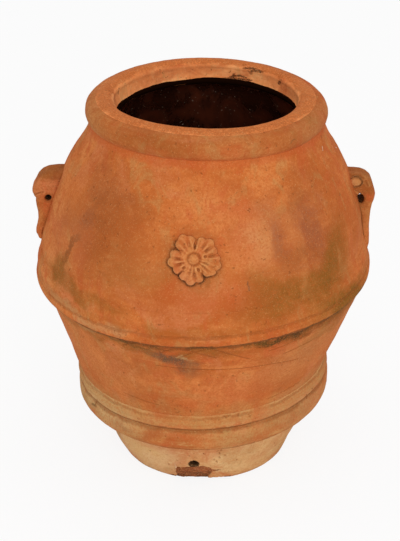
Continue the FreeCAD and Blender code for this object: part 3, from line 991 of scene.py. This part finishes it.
cone = {
    "low": 119,
    "showsFrom": 203,
    "high": 424,
    # scratches on the front, each given by turns and heights, and the ring line below them
    "scratches": {
        "lines": [[(-27.7, 387), (-24.0, 400), (-21.1, 409)], [(-13.6, 389), (-9.4, 403)],
                  [(-8.0, 377), (-3.6, 393), (1.3, 406)], [(-4.8, 403), (0.4, 391), (5.0, 381)],
                  [(4.5, 403), (10.0, 388), (16.8, 369)], [(18.2, 399), (25.8, 388)],
                  [(23.8, 380), (31.0, 387), (39.7, 392)], [(30.5, 360), (38.5, 366), (45.2, 369)],
                  [(-16, 351), (-9, 351), (8, 347), (25.3, 340), (39.2, 326)],
                  [(-34, 244), (-18, 236)], [(30, 232), (48, 240)]],
        "reach": 6.0,
        "cuts": 2,
        "halfWidth": 1.3,
        "depth": 1.3,
    },
}


def buildCone():
    low, middle, high = cone["low"], cone["showsFrom"], cone["high"]
    hidden = wallStretch(low, middle, 0, wall["hiddenSpacing"])
    outer = wallStretch(middle, high, 0, wall["spacing"])
    piece = ringPiece("coneWall", hidden[:-1] + outer + innerFace(low, high))
    scoreLines(piece, cone["scratches"])
    finishPiece(piece, clay["cone"], "terracotta", "waist_course", "lower_course", "belly_course")


shoulder = {
    "low": 423,
    "high": 743,
}


def buildShoulder():
    low, high = shoulder["low"], shoulder["high"]
    outer = wallStretch(low, high, 0, wall["spacing"])
    piece = ringPiece("shoulderWall", outer + innerFace(low, high))
    finishPiece(piece, clay["shoulder"], "terracotta", "shoulder_course", "upper_course",
                "neck_course")
    return piece


collar = {
    "outline": [(177.5, 743), (175.0, 747, -0.6, 1.5), (180.0, 775, 1.6, 2.2),
                (184.2, 786.2, -2.2, 1.2), (193, 790.2, -0.9, 1.6), (205, 788.4, -0.5, 1.6),
                (212, 785.9, -0.2, 1.6), (217, 783.2, 0, 1.6), (208, 778, 0, 6), (205, 744, 0, 14)],
    "spacing": 2.2,
    "uneven": 0.7,        # share of the clay's unevenness
    # drips of glaze on the bare clay, as turn and height
    "runs": {
        "lines": [[(146, 757), (152, 756), (159, 755), (166, 754)],
                  [(150, 760), (154, 762.5), (158, 761), (161, 758)],
                  [(139.5, 779), (143, 781), (146, 782), (149, 780.5), (152, 779)],
                  [(142, 778), (146, 778)]],
        "reach": 6.0,
        "cuts": 2,
        "halfWidth": 2.2,
        "edge": 0.8,
        "ragged": 260,        # noise of the edge, per metre, and its depth in mm
        "raggedDepth": 1.6,
        "strength": 0.85,
    },
}


def buildCollar():
    outline = outlineOf(collar["outline"], collar["spacing"])
    piece = ringPiece("mouthCollar", outline, collar["uneven"])
    paintRuns(piece, collar["runs"])
    finishPiece(piece, clay["collar"], "terracotta", "mouth_collar")


rim = {
    "centre": (211.5, 760),
    "radius": 25,
    "from": -64,     # degrees round the roll where it leaves the wall
    "to": 98,
    "back": [(203, 770), (203, 748)],    # hidden points against the wall
    "spacing": 2.4,
}


def buildRim():
    x, z = rim["centre"]
    radius, start, sweep = rim["radius"], rim["from"], rim["to"] - rim["from"]
    count = round(math.radians(sweep) * radius / rim["spacing"])
    turns = [math.radians(start + sweep * index / count) for index in range(count + 1)]
    roll = [(x + radius * math.cos(turn), z + radius * math.sin(turn)) for turn in turns]
    piece = ringPiece("rimRoll", roll + rim["back"])
    finishPiece(piece, clay["rim"], "terracotta", "rim_roll")


mouldings = {
    "band": [(216, 119), (244, 124.5, 0, 2.5), (253, 126.6, 0.5, 1.5), (256.4, 130, -1.0, 1.5),
             (265, 154, 3.2), (261.8, 176, 1.6), (261.4, 179, -0.4, 1.0), (258.4, 181, 0, 1.2),
             (238, 186, 0, 8), (220, 150, 0, 10)],
    "roll": [(238, 176), (257.8, 179.4, 0, 6), (261.4, 181.4, -0.4, 1.0), (263.0, 190, 1.4, 1.6),
             (261.6, 203, 1.8), (260.6, 209, 0.6, 1.6), (261.0, 213, 0, 1.6), (250, 216, 0, 6),
             (240, 190, 0, 10)],
    "spacing": 2.4,
}


def buildMouldings():
    names = {"band": ("footBand", "foot_band"), "roll": ("waistRoll", "waist_roll")}
    for label, (name, node) in names.items():
        piece = ringPiece(name, outlineOf(mouldings[label], mouldings["spacing"]))
        finishPiece(piece, clay[label], "moulding_terracotta", node)


ridge = {
    "outline": [(320, 405), (329.4, 409.0, 0, 3), (334.6, 412.4, 0, 1.2), (339.0, 417.4, -0.5, 0.9),
                (340.2, 429.6, 0.9, 1.4), (339.2, 432.0, -0.4, 0.8), (337.4, 433.6, 0, 0.8),
                (337.0, 435.8, 0.3, 0.8), (338.0, 438.0, -0.4, 0.8), (334.8, 457, -0.6, 2.4),
                (327.4, 481, -0.8, 2.4), (318, 485, 0, 5), (318, 440, 0, 16)],
    "spacing": 2.0,
    "uneven": 0.7,
}


def buildRidge():
    piece = ringPiece("bellyRidge", outlineOf(ridge["outline"], ridge["spacing"]), ridge["uneven"])
    finishPiece(piece, clay["ridge"], "terracotta", "belly_ridge")


glazeCoat = {
    "middle": [60, 120],    # points on the way over the floor
    "top": 690,
    # the skin over the shoulder's inside, up the throat and down behind it: radius, height, bow
    # and spacing
    "throat": [(197, 734, 3.0, 6), (178.5, 741.5, 1.5, 6), (174.4, 745.5, -1.0, 6),
               (174.8, 750, 0, 6), (178.6, 756, 0, 6), (179.6, 755, 0, 8), (178.0, 748, 0, 8),
               (181, 743.5, 0, 8), (200, 736, 0, 8)],
    "turns": 360,
}


def buildGlaze():
    skin = wall["thickness"] + wall["glaze"]
    bottom, floor, top = wall["floor"], wall["floor"] + wall["glaze"], glazeCoat["top"]
    corner = wallRadius(floor) - skin
    outline = [(radius, floor) for radius in (0, *glazeCoat["middle"], corner - 4)]
    outline += [(corner - 1.2, floor + 1.2)] + wallStretch(floor + 4, top, skin, 10)
    outline += outlineOf([outline[-1], *glazeCoat["throat"]], 6)[1:]
    outline += bowedPoints(outline[-1], (wallRadius(top) - skin + 3, top), -3, 14)
    outline += wallStretch(bottom, top - 10, skin - wall["overlap"], 24)[::-1]
    outline += [(corner, bottom), (60, bottom), (0, bottom)]
    piece = spinPiece("innerGlaze", outline, glazeCoat["turns"])
    settle(piece)
    boreSpigot(piece)
    finishPiece(piece, glazeMaterial(), "brown_glaze", "inner_glaze")


buildFoot()
buildCone()
shoulderPiece = buildShoulder()
buildCollar()
buildRim()
buildMouldings()
buildRidge()
buildGlaze()
print("rings ready")


# Ears: side views as sideways distance and height in mm, drawn where the leaning jar holds them

ears = {
    "right": [(272, 628), (286.7, 627.2), (296.7, 625.3), (306.7, 624.8), (318.8, 623.6),
              (329.6, 619.4), (338.2, 612.0), (342.2, 600.0), (346.1, 588.5), (348.1, 578.9),
              (346.6, 567.8), (343.6, 559.0), (341.8, 545.6), (340.8, 527.8), (341.0, 509.8),
              (342.1, 487.2), (342.8, 466.6), (341.3, 457.5), (338.4, 451.0), (326, 450),
              (318, 490), (305, 545), (288, 600)],
    "left": [(-264, 631), (-278.1, 630.9), (-290.0, 630.5), (-304.0, 628.8), (-316.3, 623.0),
             (-324.8, 614.3), (-330.7, 602.4), (-335.7, 594.2), (-336.6, 585.5), (-333.6, 575.7),
             (-329.6, 569.4), (-331.4, 564.8), (-330.0, 552.3), (-327.9, 538.9), (-328.1, 523.3),
             (-331.4, 508.0), (-334.0, 500.0), (-334.4, 492.0), (-331.0, 484.0), (-329.5, 478.0),
             (-318, 474), (-312, 496), (-298, 545), (-280, 600)],
    "layers": [(13, 0), (6, 1.6), (4, 2.6), (2, 4.0)],    # step outward and inset of each layer
    "taper": [(450, 0.50), (470, 0.62), (530, 0.84), (590, 1.0), (640, 1.04)],
    # the gap for the finger: sideways, height, half width, half height and turn
    "eyes": {"right": (318.4, 572.6, 7.4, 11.6, -12), "left": (-304.6, 574.6, 6.2, 7.4, 24)},
    # folds on the front, sideways and height
    "creases": {"right": [[(290, 623), (302, 621.5), (314, 621.5), (322, 617)],
                          [(326, 612), (331, 602)], [(311, 588), (317, 584)]],
                "left": [[(-313, 588), (-322, 586), (-333, 580)],
                         [(-318, 505), (-321, 492)]]},
    "creaseDepth": 1.6,
    "crestHeight": 0.7,
    # how much painted highlight the crests beside the folds get
    "crestHighlight": 0.22,
    "creaseShade": {"right": 0.72, "left": 0.10},    # painted shade where the strap meets the wall
    # the painted shade there: how near the wall, below what height, and how softly both end
    "shade": (4.5, 3.5, 560, 20),
    "line": (2.6, 2.0, 566, 14),
    "voxel": 1.5,
    "rounds": 9,
}


def earSkin(side):
    # Half of the ear is built in layers from its side view, mirrored, and made one soft skin
    piece = drawnPiece(side + "Handle", ears[side])
    bpy.ops.mesh.select_all(action="SELECT")
    bpy.ops.mesh.edge_face_add()
    bpy.ops.mesh.select_mode(type="FACE")
    bpy.ops.mesh.select_all(action="SELECT")
    for step, inset in ears["layers"]:
        if inset:
            bpy.ops.mesh.inset(thickness=inset * mm)
        else:
            bpy.ops.mesh.extrude_region_move(TRANSFORM_OT_translate={"value": (0, 0, 0)})
        bpy.ops.transform.translate(value=(0, -step * mm, 0))
    change(piece, "MIRROR", use_axis=(False, True, False), merge_threshold=0.05 * mm)
    faceOutward(piece)
    softened(piece, ears["voxel"], ears["rounds"])
    places = readPlaces(piece)
    places[:, 1] *= np.interp(places[:, 2] / mm, *zip(*ears["taper"]))
    writePlaces(piece, places)
    return piece


def nearWall(clear, height, label):
    reach, soft, top, fade = ears[label]
    return portion(reach - clear, soft) * portion(top - height, fade)


def openEye(piece, side):
    # Cuts the gap for the finger, paints shade inside it, in the folds and along the crease by the
    # wall, and highlight on the crests
    x, z, halfWidth, halfHeight, turn = ears["eyes"][side]
    clearSelection()
    bpy.ops.mesh.primitive_cylinder_add(vertices=40, radius=1 * mm, depth=90 * mm,
                                        location=(x * mm, 0, z * mm),
                                        rotation=(math.pi / 2, math.radians(turn), 0))
    drill = bpy.context.active_object
    bpy.ops.transform.resize(value=(halfWidth, 1, halfHeight))
    bpy.ops.object.transform_apply(location=True, rotation=True, scale=True)
    cutAway(piece, drill)
    softened(piece, ears["voxel"], 3)

    places = readPlaces(piece) / mm
    across, depth, height = places.T
    front = depth < -6
    near = lineDistance(across, height, ears["creases"][side])
    fold, crest = hump(near, 1.5) * front, hump(near - 3.4, 1.6) * front
    away = np.hypot((across - x) / halfWidth, (height - z) / halfHeight)
    inside = portion(1.22 - away, 0.2) * portion(22 - np.abs(depth), 6)
    places[:, 1] += fold * ears["creaseDepth"] - crest * ears["crestHeight"]
    writePlaces(piece, places * mm)
    # painted highlight on the crests beside the folds
    paint(piece, "wearAndHighlight", crest * ears["crestHighlight"])
    wallLine = np.array([wallRadius(place) for place in height])
    clear = np.hypot(across - shiftAt(height), depth) - wallLine
    shadeAndDirt = ears["creaseShade"][side]
    # painted shade in the crease along the wall, round the gap and in the folds
    crease = nearWall(clear, height, "shade") * shadeAndDirt * 1.3
    lip = 0.8 * portion(1.7 - away, 0.5)
    paint(piece, "scoreAndShade", np.maximum(np.maximum(crease, lip), fold))
    # painted shade inside the gap and in a line along the wall
    line = nearWall(clear, height, "line")
    paint(piece, "shadeAndDirt", np.maximum(inside * 0.93, line * shadeAndDirt))


def finishOrnament(piece, label, node, share=0.0):
    keepForm(piece)
    if share:
        roughen(piece, share)
    finishPiece(piece, clay[label], "ornament_terracotta", node)


def buildEar(side, node):
    piece = earSkin(side)
    openEye(piece, side)
    finishOrnament(piece, "handle", node, 1.1)
    return piece


# Pressed ornaments: a fine grid whose points stand off what carries them by a given height

def surfaceOf(carrier):
    body = bmesh.new()
    body.from_mesh(carrier.data)
    surface = BVHTree.FromBMesh(body)
    body.free()
    return surface


def acrossAndAlong(piece, plane):
    # Sideways and upward places in mm on a plane given by its origin and its two directions
    origin, right, up = (np.array(part) for part in plane)
    offset = readPlaces(piece) - origin
    return offset @ right / mm, offset @ up / mm


def pressedPiece(name, carrier, plane, grid, heightOf):
    # heightOf gives the height in mm at sideways and upward places in mm; below zero there is none
    origin, right, up = plane
    half, spacing, sink = grid
    count = round(2 * half / spacing)
    clearSelection()
    bpy.ops.mesh.primitive_grid_add(x_subdivisions=count, y_subdivisions=count, size=2 * half * mm)
    piece = newPiece(name)
    places = readPlaces(piece)
    flat = places / mm
    rises = heightOf(flat[:, 0], flat[:, 1])
    outward = right.cross(up)
    surface = surfaceOf(carrier)
    kept = rises > 0
    for index in np.nonzero(kept)[0]:
        across, along = flat[index, 0], flat[index, 1]
        spot = origin + right * (across * mm) + up * (along * mm)
        hit = surface.ray_cast(spot + outward * 0.06, -outward)[0]
        if hit is None:
            kept[index] = False
        else:
            places[index] = hit + outward * ((rises[index] - sink) * mm)
    writePlaces(piece, places)
    editChosen(piece, ~kept, "VERT")
    bpy.ops.mesh.delete(type="VERT")
    change(piece, "SOLIDIFY", thickness=2.5 * mm, offset=-1)
    faceOutward(piece)
    return piece


rosette = {
    "centre": (-13.0, 580.0),       # sideways and height of the boss, mm
    # each petal by the turn of its middle: turn, reach and half width of its lobes
    "petals": {117: [(134, 45.5, 9.2), (118, 50.5, 9.0), (100, 43.5, 9.2)],
               45: [(66, 43.5, 9.4), (45, 49.5, 9.4), (23, 46.5, 9.4)],
               333: [(3, 49.0, 8.6), (-16, 52.0, 8.6), (-34, 48.5, 8.2), (-48, 42.0, 7.6)],
               261: [(-75, 45.5, 9.4), (-99, 49.8, 9.6), (-121, 45.0, 9.2)],
               189: [(214, 44.5, 9.2), (189, 49.2, 9.6), (166, 45.0, 9.2)]},
    "grid": (56, 0.8, 0.6),    # half size and spacing of its mesh, and how deep it sinks in
    "heart": 31.0,
    "thickness": 9.0,
    "edge": 8.0,
    "fold": 0.9,
    "rib": 1.5,
    "seam": 2.4,
    # turn, distance, half width, half length and depth
    "eyelets": [(85, 25.0, 2.4, 6.2, 6.5), (14, 21.5, 2.6, 3.0, 3.0), (294, 20.5, 2.3, 4.2, 3.6),
                (221, 24.0, 2.8, 3.4, 3.0)],
    "uneven": 0.8,        # wear of the mould, mm
    # painted shade away from the light: all over, by the place sideways and upward, and at the
    # least
    "petalLee": (0.45, 0.30, 0.95, 0.15),
    "wallLee": (0.42, 0.26, 0.96, 0.0),
    # the dark lobe gets painted shade
    "hollowSpot": (22, -38, 5.0),     # a dark hollow and a dark lobe: place and size
    "darkLobe": (-38, 26, 14),
    "shadowTurn": 146,    # the wall is also dark beside the petals, on this side
    "shadowWidth": 3.2,
    "bossGrid": (12, 0.5, 0.3),
    "bossRadius": 9.7,
    "bossHeight": 9.4,
}


def softLeast(first, second, blend):
    share = np.clip(0.5 + 0.5 * (second - first) / blend, 0, 1)
    return second + (first - second) * share - blend * share * (1 - share)


def turnedBy(across, along, degrees):
    # Coordinates outward and sideways in a direction
    sine, cosine = math.sin(math.radians(degrees)), math.cos(math.radians(degrees))
    return across * cosine + along * sine, along * cosine - across * sine


def petalEdge(across, along):
    # Distance outside the petals' edge, below zero inside, and the folds of the lobes
    reach = np.hypot(across, along)
    away = reach - rosette["heart"]
    folds = np.zeros_like(reach)
    for lobes in rosette["petals"].values():
        petalAway = np.full_like(reach, 100.0)
        for turn, tip, size in lobes:
            distance = tip - size
            out, side = turnedBy(across, along, turn)
            # each lobe is a long drop that runs back to the heart
            share = np.clip(out / distance, 0.35, 1)
            width = size * (0.84 + 0.16 * share ** 1.5)
            lobeAway = np.hypot(out - distance * share, side) - width
            petalAway = softLeast(petalAway, lobeAway, 4.6)
            inner = portion(-lobeAway, width)
            folds -= hump(inner - 1.0, 0.45) * hump(reach - distance, 9) * (lobeAway < 0)
        away = np.minimum(away, petalAway)
    return away, folds


def petalHeight(across, along):
    reach = np.hypot(across, along)
    turn = np.degrees(np.arctan2(along, across)) % 360
    away, folds = petalEdge(across, along)
    relief = rosette["fold"] * folds
    for petal in rosette["petals"]:
        offset = (turn - petal + 180) % 360 - 180
        rib = np.cos(np.radians(offset) * 18) * hump(offset, 26)
        uneven = 0.95 + 0.75 * np.sin(across * 0.16 + along * 0.11 + petal)
        relief += rosette["rib"] * uneven * rib * hump(reach - 27, 12)
    seam = np.radians((turn + 27) % 72 - 36) * reach
    relief -= rosette["seam"] * hump(seam, 2.4) * portion(reach - 25, 6)
    relief += rosette["uneven"] * np.sin(across * 0.31 + 1.3) * np.sin(along * 0.27 + 0.4)
    height = rosette["thickness"] * np.sqrt(portion(-away, rosette["edge"])) + relief
    height += 0.8 * hump(reach - 17.0, 2.4) - 3.0 * hump(reach - 11.0, 2.4)
    for angle, distance, halfWidth, halfLength, depth in rosette["eyelets"]:
        out, side = turnedBy(across, along, angle)
        far = np.hypot((out - distance) / halfLength, side / halfWidth)
        height += 0.4 * hump(far - 1.7, 0.45) - depth * hump(far, 1, 4)
    return np.where(away < 0, np.maximum(height, 0.3), -1)


def bossHeight(across, along):
    reach, turn = np.hypot(across, along), np.arctan2(along, across)
    radius = rosette["bossRadius"]
    dome = rosette["bossHeight"] * np.clip(1 - (reach / radius) ** 3, 0, 1) ** 0.6
    dome -= 0.5 * hump(reach - 6.4, 1.4) * (1 + np.cos(5 * turn))
    return np.where(reach < radius, np.maximum(dome, 0.2) + 2.4, -1)


def paintRelief(piece, heightOf, across, along, reach=2.2, gain=0.9):
    # Painted highlight where a place stands above the mean of the places around it, and painted
    # shade in the hollows
    stand = heightOf(across, along)
    for step in range(8):
        turn = step * math.tau / 8
        spot = heightOf(across + reach * math.cos(turn), along + reach * math.sin(turn))
        stand = stand - np.maximum(spot, 0) / 8
    paint(piece, "wearAndHighlight", 0.7 * stand / gain)
    paint(piece, "scoreAndShade", -stand / gain)
    return stand


def leeSide(across, along, reach, label):
    level, sideways, upward, least = rosette[label]
    return np.clip(level - (sideways * across + upward * along) / reach, least, 1)


def patchAt(across, along, label):
    x, z, size = rosette[label]
    return 0.8 * hump(np.hypot(across - x, along - z), size, 4)


def petalShading(piece, plane):
    # Painted shade on the petals: low edges away from the light, the hollows, a dark lobe, and a
    # dark hollow spot
    across, along = acrossAndAlong(piece, plane)
    height = petalHeight(across, along)
    stand = paintRelief(piece, petalHeight, across, along)
    spot = patchAt(across, along, "hollowSpot") * portion(6 - height, 4)
    lee = leeSide(across, along, 42, "petalLee")
    lee = np.maximum(lee, patchAt(across, along, "darkLobe"))
    low = 0.95 * lee * portion(4.2 - height, 3.4)
    hollow = 0.45 * portion(-stand - 1.0, 1)
    paint(piece, "shadeAndDirt", np.maximum(np.maximum(spot, low), hollow))


def petalShadow(carrier, plane):
    # Painted shadow on the wall along the lower and left edge of the rosette
    across, along = acrossAndAlong(carrier, plane)
    reach = np.hypot(across, along)
    atFront = readPlaces(carrier)[:, 1] < plane[0].y + 0.06
    away = petalEdge(across, along)[0]
    lee = leeSide(across, along, np.maximum(reach, 1), "wallLee")
    turn = np.degrees(np.arctan2(along, across))
    lee = np.maximum(lee, 0.9 * hump(turn - rosette["shadowTurn"], 16, 4))
    shadow = 0.96 * lee * hump(np.maximum(away, 0), rosette["shadowWidth"])
    paint(carrier, "shadeAndDirt", np.where((reach < 70) & atFront, shadow, 0))


def buildRosette():
    x, z = rosette["centre"]
    slope = (wallRadius(z + 10) - wallRadius(z - 10)) / 20
    start = Vector((x * mm, -0.5, z * mm))
    origin = surfaceOf(shoulderPiece).ray_cast(start, Vector((0, 1, 0)))[0]
    plane = (origin, Vector((1, 0, 0)), Vector((0, -slope, 1)).normalized())
    piece = pressedPiece("rosettePetals", shoulderPiece, plane, rosette["grid"], petalHeight)
    petalShading(piece, plane)
    petalShadow(shoulderPiece, plane)
    finishOrnament(piece, "ornament", "rosette_petals", 0.35)
    piece = pressedPiece("rosetteBoss", shoulderPiece, plane, rosette["bossGrid"], bossHeight)
    paintRelief(piece, bossHeight, *acrossAndAlong(piece, plane), 3.0, 2.0)
    finishOrnament(piece, "ornament", "rosette_boss", 0.3)


volute = {
    "centre": (306.0, 610.0),
    "front": -22,         # where its plane lies
    "grid": (27, 0.6, 0.5),
    "halfWidth": 14.6,
    "halfHeight": 11.6,
    "padWidth": 12.4,
    "padHeight": 8.8,
    "padThickness": 4.8,
    "ring": 1.6,
    "tail": [(-9, -8), (-6, -15), (-1, -20), (5, -24)],
    "tailHalfWidth": 3.4,
    "tailThickness": 2.4,
}


def voluteHeight(across, along):
    far = np.hypot(across / volute["halfWidth"], along / volute["halfHeight"])
    inner = np.hypot(across / volute["padWidth"], along / volute["padHeight"])
    pad = volute["padThickness"] * np.sqrt(np.clip(1 - inner ** 2, 0, 1))
    body = np.maximum(volute["ring"] * hump(far - 1.0, 0.10), pad)
    tail = lineDistance(across, along, [volute["tail"]]) / volute["tailHalfWidth"]
    strip = volute["tailThickness"] * np.sqrt(np.clip(1 - tail ** 2, 0, 1))
    return np.maximum(np.where(far < 1.1, 0.5 + body, -1), np.where(tail < 1, 0.6 + strip, -1))


def buildVolute(ear):
    x, z = volute["centre"]
    origin = Vector((x * mm, volute["front"] * mm, z * mm))
    plane = (origin, Vector((1, 0, 0)), Vector((0, 0, 1)))
    piece = pressedPiece("handleVolute", ear, plane, volute["grid"], voluteHeight)
    across, along = acrossAndAlong(piece, plane)
    far = np.hypot(across / volute["halfWidth"], along / volute["halfHeight"])
    thick = 0.11 + 0.05 * np.clip((across + along) / volute["halfWidth"], -1, 1)
    groove = hump(far - 0.92, thick) * (along > -volute["halfHeight"] * 1.2)
    # painted shade in the groove round the pad, and painted highlight on its top
    paint(piece, "scoreAndShade", groove)
    paint(piece, "shadeAndDirt", groove * 0.62)
    paint(piece, "wearAndHighlight", 0.6 * portion(0.7 - far, 0.2))
    finishOrnament(piece, "volute", "handle_volute")


rightEar = buildEar("right", "right_handle")
buildEar("left", "left_handle")
buildVolute(rightEar)
buildRosette()
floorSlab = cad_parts["floor_slab"]
floorSlab.data.materials.clear()
floorSlab.data.materials.append(clay["foot"])
print("ears and ornaments ready")


# Studio: a pale floor, soft light from the sky and one broad lamp, and the camera

studio = {
    "floorSize": 14.0,
    "floorAlbedo": 0.90,
    "floorWhiteness": 0.86,   # share of plain white that the camera sees on the floor
    "skyLight": 0.80,
    "lampPower": 58.0,
    "lampSize": 2.4,
    "lampPlace": (0.5, -3.8, 2.6),
    "lampAim": (0, 0, 0.4),
    "lens": 92.83,
    "sensor": 36.0,
    "cameraPlace": (-0.0018, -2.5516, 1.7437),
    "cameraPitch": 62.2,   # degrees from straight down
}
white = (1, 1, 1, 1)


def whiteForCamera(tree, shade, light, share):
    # Camera, glossy and transmission rays see this share of plain white, others the shade itself
    path = addNode(tree, "LightPath").outputs
    camera, glossy, passing = [
        Wire(tree, path[f"Is {kind} Ray"]) for kind in ("Camera", "Glossy", "Transmission")]
    seen = camera.maths("MAXIMUM", glossy).maths("MAXIMUM", passing)
    plain = wired(tree, light, {"Color": white, "Strength": 1.0})
    return wired(tree, "MixShader", {0: seen * share, 1: shade, 2: plain})


def placed(name, data, place):
    made = bpy.data.objects.new(name, data)
    bpy.context.scene.collection.objects.link(made)
    made.location = place
    return made


def buildStudio():
    scene = bpy.context.scene
    world = bpy.data.worlds.new("studioSky")
    scene.world = world
    world.use_nodes = True
    tree = world.node_tree
    tree.nodes.clear()
    sky = wired(tree, "Background", {"Color": white, "Strength": studio["skyLight"]})
    addNode(tree, "OutputWorld", {"Surface": whiteForCamera(tree, sky, "Background", 1.0)})

    clearSelection()
    bpy.ops.mesh.primitive_plane_add(size=studio["floorSize"], location=(0, 0, 0))
    floor = newPiece("studioFloor")
    floorPaint = emptyMaterial("studioFloorWhite")
    tree = floorPaint.node_tree
    matte = wired(tree, "BsdfDiffuse", {"Color": (studio["floorAlbedo"],) * 3 + (1,)})
    seen = whiteForCamera(tree, matte, "Emission", studio["floorWhiteness"])
    addNode(tree, "OutputMaterial", {"Surface": seen})
    floor.data.materials.append(floorPaint)

    lamp = bpy.data.lights.new("softLamp", "AREA")
    lamp.energy = studio["lampPower"]
    lamp.size = studio["lampSize"]
    lampObject = placed("softLamp", lamp, studio["lampPlace"])
    toJar = Vector(studio["lampAim"]) - Vector(studio["lampPlace"])
    lampObject.rotation_euler = toJar.to_track_quat("-Z", "Y").to_euler()

    camera = bpy.data.cameras.new("photoCamera")
    camera.lens = studio["lens"]
    camera.sensor_width = studio["sensor"]
    camera.sensor_fit = "AUTO"
    scene.camera = placed("photoCamera", camera, studio["cameraPlace"])
    scene.camera.rotation_euler = (math.radians(studio["cameraPitch"]), 0, 0)
    scene.view_settings.view_transform = "Standard"


buildStudio()
print("studio ready")
